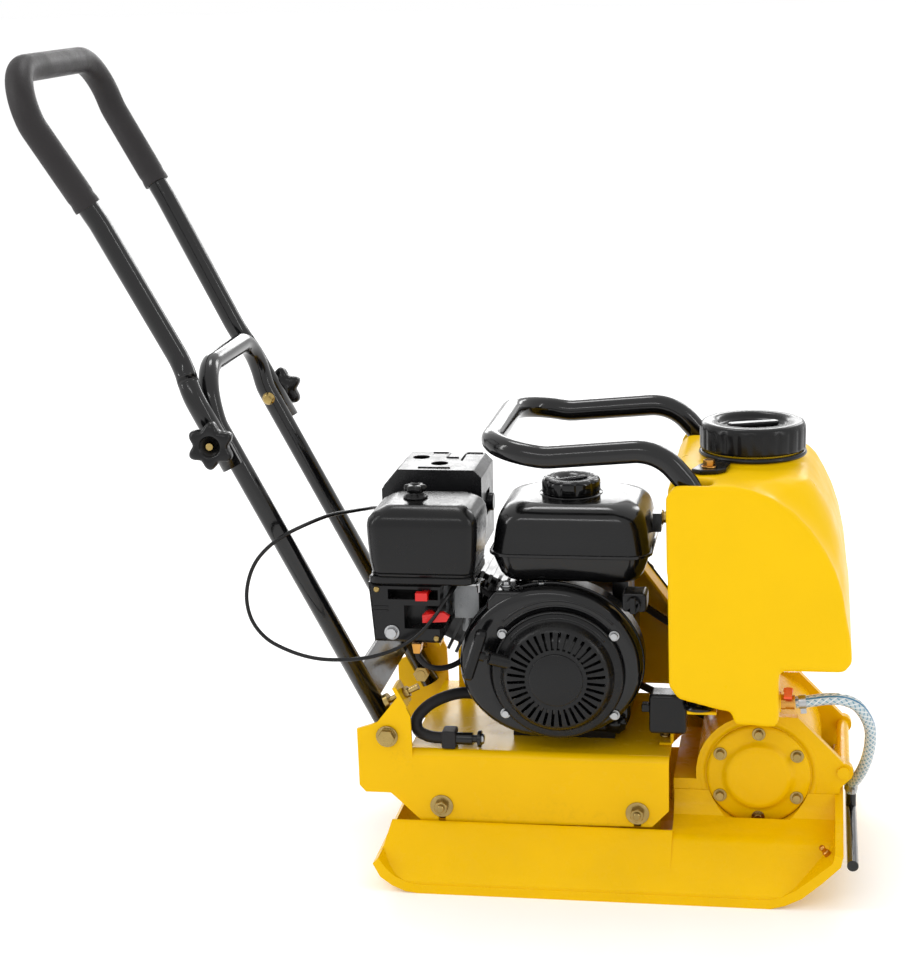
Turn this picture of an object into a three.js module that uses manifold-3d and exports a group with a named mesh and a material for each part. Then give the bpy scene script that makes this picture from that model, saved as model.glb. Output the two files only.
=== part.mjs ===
// Forward plate compactor with water tank and folding handle.
// Millimetres, +X forward, +Y the machine's left, +Z up. The origin is the centre of the
// flat underside of the base plate, on the ground.
import * as THREE from 'three';
import { mergeVertices } from 'three/addons/utils/BufferGeometryUtils.js';
import Module from 'manifold-3d';

const wasm = await Module();
wasm.setup();

// ---------- driving dimensions ----------
const GAP = 0.3;
const PLATE_LENGTH = 570;
const PLATE_WIDTH = 430;
const PLATE_THICK = 12;
const FRONT_WALL_TOP = 104;
const DECK_TOP = 161;
const DECK_HALF = 142;
const SHEET = 5;
const EXCITER = { x: 184, z: 127, r: 78, half: 94, bore: 45.3 };
const CRANK = { x: -61.4, z: DECK_TOP + 106 };
const MOUNTS_X = [-211.5, 36];
const MOUNT_Z = 88;
const PIVOT = { x: -279, z: 179 };
const LEAN = THREE.MathUtils.degToRad(27.6);
const TUBE_R = 12.7;
const TUBE_WALL = 2;
const LOWER_TUBE_Y = 122;
const UPPER_TUBE_Y = 149;
const UPPER_TUBE_R = 13.3;
const HINGE_UP = 430;
const GRIP_R = 17;
const TANK_HALF = 165;
const TANK_WALL = 5;
const TANK_TOP = 515;
const NECK = { x: 171, r: 60, top: 541 };
const PULLEY_Y = 122;
const ENGINE_PULLEY_R = 62;
const EXCITER_PULLEY_R = 41;
const SPRAY = { x: 300, z: 60, r: 7, tee: -30 };

// ---------- colours ----------
const paint = (color, roughness = 0.5, metalness = 0) =>
  new THREE.MeshStandardMaterial({ color, roughness, metalness });
const YELLOW = paint(0xe6b800, 0.35);
const TANK_YELLOW = paint(0xf5c800, 0.4);
const BLACK = paint(0x1c1c1e, 0.4);
const BLACK_TUBE = paint(0x161617, 0.25);
const PLASTIC = paint(0x232325, 0.55);
const RUBBER = paint(0x2c2b2d, 0.8);
const STEEL = paint(0x9a9c9e, 0.35, 0.9);
const ZINC = paint(0xb59a55, 0.35, 0.8);
const BRASS = paint(0xb98a45, 0.3, 0.9);
const ALUMINIUM = paint(0xb4b6b8, 0.5, 0.8);
const RED = paint(0xd0140f, 0.4);
const ORANGE = paint(0xe2571a, 0.4);
const CLEAR = paint(0xc4dde0, 0.15);

// ---------- shape helpers ----------
function signedVolume(vertices, triangles) {
  let sum = 0;
  const corner = (i) => new THREE.Vector3().fromArray(vertices, triangles[i] * 3);
  for (let i = 0; i < triangles.length; i += 3) {
    sum += corner(i).dot(corner(i + 1).cross(corner(i + 2)));
  }
  return sum;
}

// A closed geometry as a manifold-3d solid, whichever way its faces wound.
function solid(geometry) {
  geometry.deleteAttribute('normal');
  geometry.deleteAttribute('uv');
  const merged = mergeVertices(geometry, 1e-3);
  const vertProperties = Float32Array.from(merged.attributes.position.array);
  const triVerts = Uint32Array.from(merged.index.array);
  if (signedVolume(vertProperties, triVerts) < 0) {
    for (let i = 0; i < triVerts.length; i += 3) {
      [triVerts[i], triVerts[i + 1]] = [triVerts[i + 1], triVerts[i]];
    }
  }
  return new wasm.Manifold(new wasm.Mesh({ numProp: 3, vertProperties, triVerts }));
}

function node(name, shape, material) {
  const out = shape.getMesh();
  const geometry = new THREE.BufferGeometry();
  geometry.setAttribute('position', new THREE.BufferAttribute(out.vertProperties, 3));
  geometry.setIndex(new THREE.BufferAttribute(out.triVerts, 1));
  geometry.computeVertexNormals();
  const mesh = new THREE.Mesh(geometry, material);
  mesh.name = name;
  return mesh;
}

const join = (...parts) => parts.reduce((a, b) => a.add(b));
const cut = (from, ...parts) => parts.reduce((a, b) => a.subtract(b), from);

// Axis frames: a flat outline (a, b) is drawn in the plane across the named axis.
const FRAMES = {
  x: [[0, 1, 0], [0, 0, 1], [1, 0, 0]],
  y: [[1, 0, 0], [0, 0, 1], [0, -1, 0]],
  z: [[1, 0, 0], [0, 1, 0], [0, 0, 1]],
};

function alongAxis(geometry, axis, from, to) {
  const [a, b, c] = FRAMES[axis].map((v) => new THREE.Vector3(...v));
  const start = axis === 'y' ? -to : from;
  geometry.translate(0, 0, start);
  geometry.applyMatrix4(new THREE.Matrix4().makeBasis(a, b, c));
  return geometry;
}

const outline = (points) => new THREE.Shape(points.map(([a, b]) => new THREE.Vector2(a, b)));

// An outline pushed along an axis, with optional bevelled rims of the same overall size.
function prism(points, axis, from, to, bevel = 0, segments = 1) {
  const shape = Array.isArray(points) ? outline(points) : points;
  const geometry = new THREE.ExtrudeGeometry(shape, {
    depth: to - from - 2 * bevel,
    bevelEnabled: bevel > 0,
    bevelThickness: bevel,
    bevelSize: bevel,
    bevelOffset: -bevel,
    bevelSegments: segments,
    curveSegments: 4,
  });
  geometry.translate(0, 0, bevel);
  return solid(alongAxis(geometry, axis, from, to));
}

const block = (x0, x1, y0, y1, z0, z1) =>
  prism([[x0, y0], [x1, y0], [x1, y1], [x0, y1]], 'z', z0, z1);

// A rectangle with rounded corners, as an outline.
function roundRect(a0, a1, b0, b1, r) {
  const s = new THREE.Shape();
  s.moveTo(a0 + r, b0);
  s.lineTo(a1 - r, b0);
  s.absarc(a1 - r, b0 + r, r, -Math.PI / 2, 0);
  s.lineTo(a1, b1 - r);
  s.absarc(a1 - r, b1 - r, r, 0, Math.PI / 2);
  s.lineTo(a0 + r, b1);
  s.absarc(a0 + r, b1 - r, r, Math.PI / 2, Math.PI);
  s.lineTo(a0, b0 + r);
  s.absarc(a0 + r, b0 + r, r, Math.PI, Math.PI * 1.5);
  return s;
}

function rod(axis, r, from, to, a = 0, b = 0, sides = 20) {
  const points = [];
  for (let i = 0; i < sides; i++) {
    const t = ((i + 0.5) / sides) * 2 * Math.PI;
    points.push([a + r * Math.cos(t), b + r * Math.sin(t)]);
  }
  return prism(points, axis, from, to);
}

const hexBar = (axis, acrossFlats, from, to, a, b) =>
  rod(axis, acrossFlats / Math.sqrt(3), from, to, a, b, 6);

// A profile of [radius, height] points, closed or ending on the axis, turned about an axis.
function turned(profile, axis, a = 0, b = 0, sides = 28) {
  const points = profile.map(([r, h]) => new THREE.Vector2(r, h));
  const geometry = new THREE.LatheGeometry(points, sides);
  const spin = { x: [0, 0, -Math.PI / 2], y: [0, 0, 0], z: [Math.PI / 2, 0, 0] }[axis];
  geometry.applyMatrix4(new THREE.Matrix4().makeRotationFromEuler(new THREE.Euler(...spin)));
  const shift = { x: [0, a, b], y: [a, 0, b], z: [a, b, 0] }[axis];
  return solid(geometry.translate(...shift));
}

// A pipe's centre line: straight runs joined by circular bends, sampled only where it turns.
class BentPath extends THREE.Curve {
  constructor(points, bend, arcSteps) {
    super();
    const p = points.map((v) => new THREE.Vector3(...v));
    this.stations = [{ at: p[0], dir: p[1].clone().sub(p[0]).normalize() }];
    for (let i = 1; i < p.length - 1; i++) this.turn(p[i - 1], p[i], p[i + 1], bend, arcSteps);
    const end = p[p.length - 1];
    this.stations.push({ at: end, dir: end.clone().sub(p[p.length - 2]).normalize() });
  }

  turn(before, corner, after, bend, arcSteps) {
    const into = corner.clone().sub(before);
    const out = after.clone().sub(corner);
    const room = Math.min(into.length(), out.length()) * 0.86;
    into.normalize();
    out.normalize();
    const angle = into.angleTo(out);
    const reach = Math.min(bend * Math.tan(angle / 2), room);
    const radius = reach / Math.tan(angle / 2);
    const side = out.clone().addScaledVector(into, -out.dot(into)).normalize();
    const start = corner.clone().addScaledVector(into, -reach);
    const centre = start.clone().addScaledVector(side, radius);
    const steps = Math.max(1, Math.round((arcSteps * angle) / (Math.PI / 2)));
    for (let k = 0; k <= steps; k++) {
      const t = (angle * k) / steps;
      const at = centre.clone().addScaledVector(side, -radius * Math.cos(t));
      at.addScaledVector(into, radius * Math.sin(t));
      const dir = into.clone().multiplyScalar(Math.cos(t)).addScaledVector(side, Math.sin(t));
      this.stations.push({ at, dir });
    }
  }

  station(u) {
    return this.stations[Math.round(u * (this.stations.length - 1))];
  }

  getPoint(u) { return this.station(u).at.clone(); }

  getPointAt(u) { return this.station(u).at.clone(); }

  getTangentAt(u) { return this.station(u).dir.clone(); }
}

const circle = (r, sides) => {
  const s = new THREE.Shape();
  for (let i = 0; i < sides; i++) {
    const t = ((i + 0.5) / sides) * 2 * Math.PI;
    if (i === 0) s.moveTo(r * Math.cos(t), r * Math.sin(t));
    else s.lineTo(r * Math.cos(t), r * Math.sin(t));
  }
  return s;
};

function pipe(points, r, bend, sides = 12, arcSteps = 5) {
  const path = new BentPath(points, bend, arcSteps);
  const steps = path.stations.length - 1;
  return solid(new THREE.ExtrudeGeometry(circle(r, sides), { steps, extrudePath: path }));
}

// A hose or cable along a smooth curve through hand-set points.
function cord(points, r, sides, steps) {
  const path = new THREE.CatmullRomCurve3(points.map((v) => new THREE.Vector3(...v)));
  return solid(new THREE.ExtrudeGeometry(circle(r, sides), { steps, extrudePath: path }));
}

const group = (...children) => {
  const g = new THREE.Group();
  g.add(...children);
  return g;
};

const bothSides = (make) => [make(-1, 'near'), make(1, 'far')];

// ---------- base plate and exciter ----------
function basePlate() {
  const half = PLATE_LENGTH / 2;
  const t = PLATE_THICK;
  const w = PLATE_WIDTH / 2;
  const underside = [[-half - 3, 37], [-279, 20], [-264, 9], [-247, 2], [-232, 0], [202, 0],
    [220, 5], [240, 15], [264, 36], [half + 1, 58], [half + 4, 72], [half + 4, FRONT_WALL_TOP]];
  const upperside = [[half - 6, FRONT_WALL_TOP], [half - 6, 74], [276, 62], [256, 45], [232, 25],
    [216, 16], [200, t], [-230, t], [-244, 14], [-260, 21], [-271, 31], [-281, 45]];
  const dish = prism([...underside, ...upperside], 'y', -w, w);
  const slope = bothSides((s) => prism([[s * 100, FRONT_WALL_TOP], [s * 216, 72], [s * 216, 130],
    [s * 100, 130]], 'x', half - 30, half + 20));
  const within = prism([...underside, [-266, FRONT_WALL_TOP], [-281, 46]], 'y', -w, w);
  const flank = bothSides((s) => {
    const crest = s > 0 ? [[150, 62], [94.4, 62]]
      : [[-150, 65], [-128, 68.5], [-110, 76], [-100, 88], [-95.5, 102], [-94.4, 112]];
    const rear = prism([[s * 214, t - 8], [s * 214, 16], [s * 204, 26], [s * 158, 62],
      [s * 151, 67.5], [s * 146, 69], [s * 146, t - 8]], 'x', -290, 80);
    const front = prism([[s * 214, t - 8], [s * 214, 16], [s * 204, 26], [s * 158, 60], ...crest,
      [s * 94.4, t - 8]], 'x', 79, 280);
    const cover = rod('y', 65.6, s > 0 ? 90 : -112, s > 0 ? 112 : -90, EXCITER.x, EXCITER.z, 40);
    return cut(join(rear, front).intersect(within), cover, ...slope);
  });
  const lug = (x, s) => block(x - 26, x + 26, s > 0 ? 96 : -104, s > 0 ? 104 : -96, t - 3, 112);
  const lugs = MOUNTS_X.flatMap((x) => [lug(x, -1), lug(x, 1)]);
  const lugHoles = MOUNTS_X.flatMap((x) => [rod('y', 5.4, -110, -90, x, MOUNT_Z, 12),
    rod('y', 5.4, 90, 110, x, MOUNT_Z, 12)]);
  return node('base_plate', cut(join(cut(dish, ...slope), ...flank, ...lugs), ...lugHoles), YELLOW);
}

// The exciter's cast case stands on the plate; two webs run forward to the lifting bar.
function exciterHousing() {
  const { x, z, r, half: h, bore } = EXCITER;
  const foot = PLATE_THICK + GAP;
  const barrel = rod('y', r, -h, h, x, z, 40);
  const pedestal = block(78, x + 62, -h, h, foot, 118);
  const web = (y) => join(
    prism([[x, z + r - 1], [232, 203], [287, 147], [300, 132], [297, 124], [285, 112], [282, 40],
      [x, foot]], 'y', y - 6, y + 6),
    rod('y', 12, y - 6, y + 6, 289, 133, 16));
  const plate = prism([[60, -20], [60, foot], [199.8, foot], [215.6, 16.4], [231.6, 25.4],
    [255.6, 45.4], [275.6, 62.4], [278.6, 74.4], [278.6, FRONT_WALL_TOP + 0.4],
    [310, FRONT_WALL_TOP + 0.4], [310, -20]], 'y', -h - 10, h + 10);
  const body = cut(join(barrel, pedestal, web(-h + 6), web(h - 6)), plate);
  const liftBar = rod('y', 8, -h - 4, h + 4, 289, 133, 14);
  const bored = cut(body, rod('y', bore, -h - 1, h + 1, x, z, 32));
  return node('exciter_housing', join(bored, liftBar), YELLOW);
}

function exciterCover(name, side, shaftHole) {
  const y0 = EXCITER.half + GAP;
  const profile = [[0, y0], [65, y0], [65, y0 + 8], [45, y0 + 9], [41, y0 + 14], [0, y0 + 14]];
  let cover = turned(profile.map(([r, y]) => [r, side * y]), 'y', EXCITER.x, EXCITER.z, 36);
  if (shaftHole) {
    cover = cut(cover, rod('y', 15, y0 - 2, y0 + 20, EXCITER.x, EXCITER.z, 20));
  } else {
    for (let i = 0; i < 6; i++) {
      const a = ((90 + 60 * i) * Math.PI) / 180;
      const cx = EXCITER.x + 55 * Math.cos(a);
      const cz = EXCITER.z + 55 * Math.sin(a);
      cover = join(cover, hexBar('y', 13, -y0 - 14, -y0 - 7, cx, cz));
    }
  }
  return node(name, cover, YELLOW);
}

// Deep-groove bearing 6308: 40 mm bore, 90 mm outside, 23 mm wide.
function exciterBearing(name, side) {
  const y = side * 70;
  const ring = rod('y', 45, y - 11.5, y + 11.5, EXCITER.x, EXCITER.z, 32);
  return node(name, cut(ring, rod('y', 20.2, y - 13, y + 13, EXCITER.x, EXCITER.z, 28)), STEEL);
}

function eccentricShaft() {
  const { x, z } = EXCITER;
  const journals = join(rod('y', 19.8, -82, 82, x, z, 24), rod('y', 14, 81, 140, x, z, 20));
  const weight = prism([[x - 34, z], [x - 34, z - 14], [x - 24, z - 32], [x, z - 41],
    [x + 24, z - 32], [x + 34, z - 14], [x + 34, z]], 'y', -52, 52);
  return node('eccentric_shaft', join(journals, weight), STEEL);
}

function grooved(r, bore, x, z) {
  const rim = [[r, -13], [r, -8.5], [r - 11, -4.5], [r - 11, 4.5], [r, 8.5], [r, 13]];
  const profile = [[bore, -13], ...rim, [bore, 13], [bore, -13]];
  return turned(profile.map(([a, h]) => [a, h + PULLEY_Y]), 'y', x, z, 32);
}

// ---------- rubber mounts ----------
function rubberMounts() {
  const parts = [];
  const names = ['rear', 'front'];
  MOUNTS_X.forEach((x, i) => {
    parts.push(...bothSides((s, side) => {
      const range = (a, b) => (s > 0 ? [a, b] : [-b, -a]);
      const bush = rod('y', 20, ...range(104 + GAP, DECK_HALF - SHEET - GAP), x, MOUNT_Z, 16);
      const stud = rod('y', 5, ...range(85, DECK_HALF + 14), x, MOUNT_Z, 12);
      const washer = rod('y', 15, ...range(DECK_HALF + GAP, DECK_HALF + 2.6), x, MOUNT_Z, 20);
      const nut = hexBar('y', 16, ...range(DECK_HALF + 2.5, DECK_HALF + 10), x, MOUNT_Z);
      return node(`rubber_mount_${names[i]}_${side}`, join(bush, stud, washer, nut), RUBBER);
    }));
  });
  return parts;
}

// ---------- deck ----------
function deck() {
  const w = DECK_HALF;
  const r = 12;
  const shell = new THREE.Shape();
  shell.moveTo(-w, 100);
  shell.lineTo(-w, DECK_TOP - r);
  shell.absarc(-w + r, DECK_TOP - r, r, Math.PI, Math.PI / 2, true);
  shell.lineTo(w - r, DECK_TOP);
  shell.absarc(w - r, DECK_TOP - r, r, Math.PI / 2, 0, true);
  shell.lineTo(w, 100);
  shell.lineTo(w - SHEET, 100);
  shell.lineTo(w - SHEET, DECK_TOP - r);
  shell.absarc(w - r, DECK_TOP - r, r - SHEET, 0, Math.PI / 2, false);
  shell.lineTo(-w + r, DECK_TOP - SHEET);
  shell.absarc(-w + r, DECK_TOP - r, r - SHEET, Math.PI / 2, Math.PI, false);
  shell.lineTo(-w + SHEET, 100);
  const channel = prism(shell, 'x', -252, 75);
  const side = [[-318, 187], [-317, 112], [-309, 103], [-277, 103], [-270, 97], [-237, 66],
    [54, 70], [75, 92], [75, 140], [-247, 140], [-249, 206], [-262, 234], [-292, 196]];
  const plates = bothSides((s) => prism(side, 'y', s > 0 ? w - SHEET : -w, s > 0 ? w : -w + SHEET));
  const tabs = bothSides((s) => {
    const [y0, y1] = s > 0 ? [110, w] : [-w, -110];
    const tab = prism([[36, 22], [41, 22], [41, 52], [36, 52]], 'y', y0, y1);
    return leanBack(cut(tab, rod('x', 4.4, 30, 50, s * 123, 36, 12)));
  });
  const holes = bothSides((s) => rod('y', 6.4, s * w - 10, s * w + 10, PIVOT.x, PIVOT.z, 16));
  const slots = MOUNTS_X.flatMap((x) => bothSides((s) => join(
    rod('y', 5.6, s * w - 10, s * w + 10, x, MOUNT_Z, 12),
    block(x - 4.5, x + 4.5, s * w - 10, s * w + 10, 60, MOUNT_Z))));
  const beltSlot = block(8, 80, 104, 150, 135, 170);
  return node('engine_deck', cut(join(channel, ...plates, ...tabs, throttleStand()), ...holes,
    ...slots, beltSlot), YELLOW);
}

// From the handle's own frame (z up the tubes, x square to them) to the machine's frame.
function leanBack(shape) {
  const m = new THREE.Matrix4().makeRotationY(-LEAN).setPosition(PIVOT.x, 0, PIVOT.z);
  return shape.transform(m.toArray());
}

function stopBolt(side, name) {
  const y = side * 123;
  const bolt = join(rod('x', 10, 14, 20, y, 36, 16), rod('x', 4, 19, 62, y, 36, 12),
    hexBar('x', 13, 41.4, 48, y, 36));
  return node(`stop_bolt_${name}`, leanBack(bolt), ZINC);
}

// Bolted to the deck's front edge: holds the tank and the two feet of the roll bar. The
// far foot stands on an arm that clears the belt guard.
function tankBracket() {
  const top = DECK_TOP + GAP;
  const main = prism([[60, top], [74, top], [78, top + 4], [78, 224], [134, 224], [134, 228],
    [74, 228], [74, top + 4], [60, top + 4]], 'y', -96, 84);
  const nearFoot = block(98, 134, -153, -90, 224, 228);
  const post = block(74, 78, 60, 100, top + 4, 250);
  const farFoot = join(block(74, 126, 82, 100, 246, 250), block(98, 126, 90, 153, 246, 250));
  return node('tank_bracket', join(main, nearFoot, post, farFoot), YELLOW);
}

function rollBar() {
  const leg = (s) => [[112, s * 139, s > 0 ? 250.8 : 228.8], [108, s * 139, 500],
    [62, s * 139, 552], [-75, s * 139, 541], [-146, s * 139, 552]];
  const [near, far] = [leg(-1), leg(1)];
  return node('roll_bar', pipe([...near, ...far.reverse()], 14, 60, 12, 6), BLACK_TUBE);
}

// ---------- belt drive ----------
function beltGuard() {
  const floor = DECK_TOP + GAP;
  const outer = [[-150, floor], [-150, 330], [-112, 368], [0, 368], [54, 296], [92, 245],
    [232, 190], [246, 150], [236, 92], [196, 68], [150, 68], [79, 112], [79, 156], [70, floor]];
  const inner = [[-146, floor + 3], [-146, 328], [-110, 364], [-2, 364], [51, 293], [89, 242],
    [228, 187], [242, 150], [233, 95], [195, 72], [152, 72], [82, 115], [82, 158],
    [71, floor + 3]];
  const can = cut(prism(outer, 'y', 106, 148), prism(inner, 'y', 100, 145));
  const beltGap = join(block(8, 84, 104, 143, 150, 172), block(72, 90, 104, 143, 119, 172));
  return node('belt_guard', cut(can, beltGap), YELLOW);
}

function driveBelt() {
  const from = new THREE.Vector2(CRANK.x, CRANK.z);
  const to = new THREE.Vector2(EXCITER.x, EXCITER.z);
  const across = to.clone().sub(from);
  const base = Math.atan2(across.y, across.x);
  const lead = Math.acos((ENGINE_PULLEY_R - EXCITER_PULLEY_R) / across.length());
  const loop = (extra) => {
    const s = new THREE.Shape();
    s.absarc(from.x, from.y, ENGINE_PULLEY_R + extra, base + lead, base - lead, false);
    s.absarc(to.x, to.y, EXCITER_PULLEY_R + extra, base - lead, base + lead, false);
    return s;
  };
  const belt = cut(prism(loop(-1), 'y', PULLEY_Y - 4, PULLEY_Y + 4),
    prism(loop(-9.5), 'y', PULLEY_Y - 6, PULLEY_Y + 6));
  return node('drive_belt', belt, RUBBER);
}

// ---------- engine ----------
function crankcase() {
  const { x, z } = CRANK;
  const foot = block(x - 66, x + 64, -76, 74, DECK_TOP + GAP, DECK_TOP + 12);
  const box = prism(roundRect(x - 76, x + 84, DECK_TOP + 10, z + 62, 26), 'y', -82, 76, 4);
  const barrel = block(0, 150, -52, 52, -50, 50);
  const fins = [];
  for (let i = 0; i < 5; i++) fins.push(block(92 + i * 11, 96 + i * 11, -64, 64, -55, 60));
  const tilt = new THREE.Matrix4().makeRotationY(Math.PI + THREE.MathUtils.degToRad(25));
  tilt.setPosition(x, 0, z);
  const cylinder = join(barrel, ...fins).transform(tilt.toArray());
  const bore = rod('y', 13, -90, 80, x, z, 20);
  return node('crankcase', cut(join(foot, box, cylinder), bore), BLACK);
}

function cylinderHead() {
  const tilt = new THREE.Matrix4().makeRotationY(Math.PI + THREE.MathUtils.degToRad(25));
  tilt.setPosition(CRANK.x, 0, CRANK.z);
  const head = join(block(150.5, 176, -56, 56, -40, 52), block(175, 196, -40, 40, -29, 42));
  return node('cylinder_head', head.transform(tilt.toArray()), ALUMINIUM);
}

// The fan housing is a volute: its radius grows from the bottom, over the top, to the rear.
const VOLUTE = [[-90, 80], [-50, 90], [0, 106], [90, 109], [150, 125], [180, 128], [225, 103],
  [270, 80]];

function voluteOutline(shrink) {
  const points = [];
  for (let deg = -90; deg < 269; deg += 15) {
    const k = VOLUTE.findIndex(([end]) => end > deg);
    const [[d0, r0], [d1, r1]] = [VOLUTE[k - 1], VOLUTE[k]];
    const r = r0 + ((deg - d0) / (d1 - d0)) * (r1 - r0) - shrink;
    const a = THREE.MathUtils.degToRad(deg);
    points.push([CRANK.x + r * Math.cos(a), CRANK.z + r * Math.sin(a)]);
  }
  return points;
}

// A squared shoulder at the upper rear carries the control linkage.
function fanHousing() {
  const skin = join(prism(voluteOutline(0), 'y', -142, -83, 5),
    prism([[-150, 300], [-150, 358], [-140, 371], [-62, 371], [-62, 300]], 'y', -138, -88, 4));
  const hollow = join(prism(voluteOutline(6), 'y', -137, -80),
    prism([[-145, 305], [-145, 356], [-138, 366], [-67, 366], [-67, 305]], 'y', -133, -80));
  const eye = rod('y', 72, -150, -130, CRANK.x, CRANK.z, 36);
  return node('fan_housing', cut(skin, hollow, eye), BLACK);
}

function recoilCover() {
  const profile = [[0, -166], [60, -166], [67, -161], [70, -150], [81, -147], [82, -142.3],
    [66, -142.3], [64, -150], [62, -160], [0, -161]];
  const dome = turned(profile, 'y', CRANK.x, CRANK.z, 40);
  const post = rod('y', 9, -163, -146, CRANK.x, CRANK.z, 16);
  const guide = cut(alongRope(rod('z', 8, -16, 12, 0, 0, 14), 0),
    prism(voluteOutline(-0.3), 'y', -142.3, -80));
  const ropeBore = alongRope(rod('z', 3.4, -2, 20, 0, 0, 12), 0);
  return node('recoil_cover', cut(join(dome, post, guide), ropeBore), BLACK);
}

function flywheel() {
  const fan = turned([[12, -128], [26, -128], [28, -118], [66, -116], [70, -92], [70, -86],
    [12, -86], [12, -128]], 'y', CRANK.x, CRANK.z, 28);
  return node('flywheel_fan', fan, ALUMINIUM);
}

function crankshaft() {
  const shaft = rod('y', 11.7, -132, 140, CRANK.x, CRANK.z, 18);
  return node('crankshaft', shaft, STEEL);
}

function clutchPulley() {
  const groove = grooved(ENGINE_PULLEY_R, 12, CRANK.x, CRANK.z);
  const drum = turned([[40, 84], [46, 84], [46, 110], [40, 110], [40, 84]], 'y', CRANK.x,
    CRANK.z, 28);
  return node('clutch_pulley', join(groove, drum), STEEL);
}

const CHOKE = { x: -226, y: -128, z: 366 };
const COCK = { x: -222, z: 337 };
const THROTTLE = { x: -164, y: -100, z: 372 };

const FUEL = { x0: -146, x1: 50, y0: -128, y1: 46, seam: 414, z0: 377, top: 474 };
const FUEL_CAP = { x: -54, y: -38, r: 37 };

function fuelTank() {
  const { x0, x1, y0, y1, seam, z0, top } = FUEL;
  const half = (inset, from, to) => prism(roundRect(x0 + inset, x1 - inset, y0 + inset,
    y1 - inset, 22 - inset / 2), 'z', from, to, 11, 2);
  const rim = prism(roundRect(x0 - 3, x1 + 3, y0 - 3, y1 + 3, 24), 'z', seam - 2, seam + 2);
  const neck = rod('z', 24, top - 8, top + 7, FUEL_CAP.x, FUEL_CAP.y, 24);
  const hollow = join(block(x0 + 8, x1 - 8, y0 + 8, y1 - 8, z0 + 8, top - 8),
    rod('z', 20, top - 20, top + 20, FUEL_CAP.x, FUEL_CAP.y, 20));
  const ear = block(x1 - 2, x1 + 9, -40, -12, seam - 6, seam + 34);
  const foot = [block(-124, -104, -60, 20, 364, z0 + 6), block(0, 20, -70, 20, 329.3, z0 + 6)];
  return node('fuel_tank', cut(join(half(0, z0, seam + 11), half(0, seam - 11, top), rim, neck,
    ear, ...foot), hollow), BLACK);
}

function fuelCap() {
  const { x, y, r } = FUEL_CAP;
  const z = FUEL.top;
  const cup = [[0, z + 20], [r - 4, z + 20], [r, z + 16], [r, z + 1], [25, z + 1], [25, z + 12],
    [0, z + 12]];
  let cap = turned(cup, 'z', x, y, 32);
  for (let i = 0; i < 10; i++) {
    const a = (i / 10) * 2 * Math.PI;
    cap = cut(cap, rod('z', 3.4, z, z + 24, x + 39 * Math.cos(a), y + 39 * Math.sin(a), 8));
  }
  return node('fuel_cap', cap, BLACK);
}

const CLEANER = { x0: -298, x1: -160, y0: -150, y1: -36, z0: 389, z1: 477 };

function airCleanerCover() {
  const { x0, x1, y0, y1, z0, z1 } = CLEANER;
  const side = [[x0, z0], [x1 - 4, z0], [x1, z0 + 8], [x1, z1 - 16], [x1 - 18, z1], [x0 + 12, z1],
    [x0, z1 - 12]];
  const inner = [[x0 + 3, z0 - 1], [x1 - 5, z0 - 1], [x1 - 3, z0 + 10], [x1 - 3, z1 - 17],
    [x1 - 19, z1 - 3], [x0 + 13, z1 - 3], [x0 + 3, z1 - 13]];
  const shell = cut(prism(side, 'y', y0, y1, 7, 2), prism(inner, 'y', y0 + 4, y1 - 4));
  return node('air_cleaner_cover', cut(shell, rod('z', 4.4, z1 - 20, z1 + 4, -243, -93, 12)),
    PLASTIC);
}

function airFilter() {
  const ring = cut(prism(roundRect(-285, -176, -140, -46, 20), 'z', 391, 446),
    prism(roundRect(-262, -222, -114, -72, 10), 'z', 380, 460));
  return node('air_filter_element', ring, RUBBER);
}

function airCleanerBase() {
  const tray = prism(roundRect(-296, -164, -147, -39, 12), 'z', 379, CLEANER.z0 - GAP, 2);
  const panel = prism([[-297, 380], [-291, 304], [-208, 303], [-204, 312], [-202, 380]], 'y',
    -144, -62, 4);
  const stud = rod('z', 4, 380, 486, -243, -93, 10);
  const window = cut(block(-252, -190, -150, -120, 322, 352),
    rod('y', 9, -132, -118, COCK.x, COCK.z, 18));
  const chokeSlot = block(-272, -209, -150, -112, 359.5, 372.5);
  return node('air_cleaner_base', cut(join(tray, panel, stud), window, chokeSlot), PLASTIC);
}

function airCleanerKnob() {
  const z = CLEANER.z1 + GAP;
  const bell = turned([[4.4, z], [15, z], [15, z + 2], [9, z + 7], [8, z + 10], [4.4, z + 10],
    [4.4, z]], 'z', -243, -93, 20);
  let wing = rod('z', 10.5, z + 8, z + 17, -243, -93, 20);
  for (let i = 0; i < 6; i++) {
    const a = (i / 6) * 2 * Math.PI;
    wing = join(wing, rod('z', 3.6, z + 9, z + 17, -243 + 10 * Math.cos(a), -93 + 10 * Math.sin(a),
      8));
  }
  return node('air_cleaner_knob', join(bell, cut(wing, rod('z', 4.4, z, z + 12, -243, -93, 12))),
    PLASTIC);
}

function carburettor() {
  const body = join(block(-199, -168, -81, -64.5, 318, 362), rod('z', 7.8, 300, 319, -183, -73));
  return node('carburettor', body, ALUMINIUM);
}

function muffler() {
  const can = prism(roundRect(-288, -184, 0, 78, 20), 'z', 392, 468, 5);
  const outlet = rod('x', 12, -186, -164, 40, 440, 14);
  return node('muffler', join(can, outlet), STEEL);
}

function mufflerGuard() {
  const y0 = -14;
  const y1 = 90;
  const outer = [[-302, 388], [-172, 388], [-172, 484], [-182, 494], [-280, 494], [-302, 468]];
  const inner = [[-300, 380], [-174, 380], [-174, 483], [-183, 491.5], [-279, 491.5], [-300, 467]];
  const cage = cut(prism(outer, 'y', y0, y1), prism(inner, 'y', y0 + 2.5, y1 - 2.5),
    rod('z', 11, 486, 500, -262, 58, 16), rod('z', 11, 486, 500, -232, 24, 16),
    block(-180, -160, 26, 54, 424, 456));
  return node('muffler_guard', cage, ALUMINIUM);
}

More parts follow.
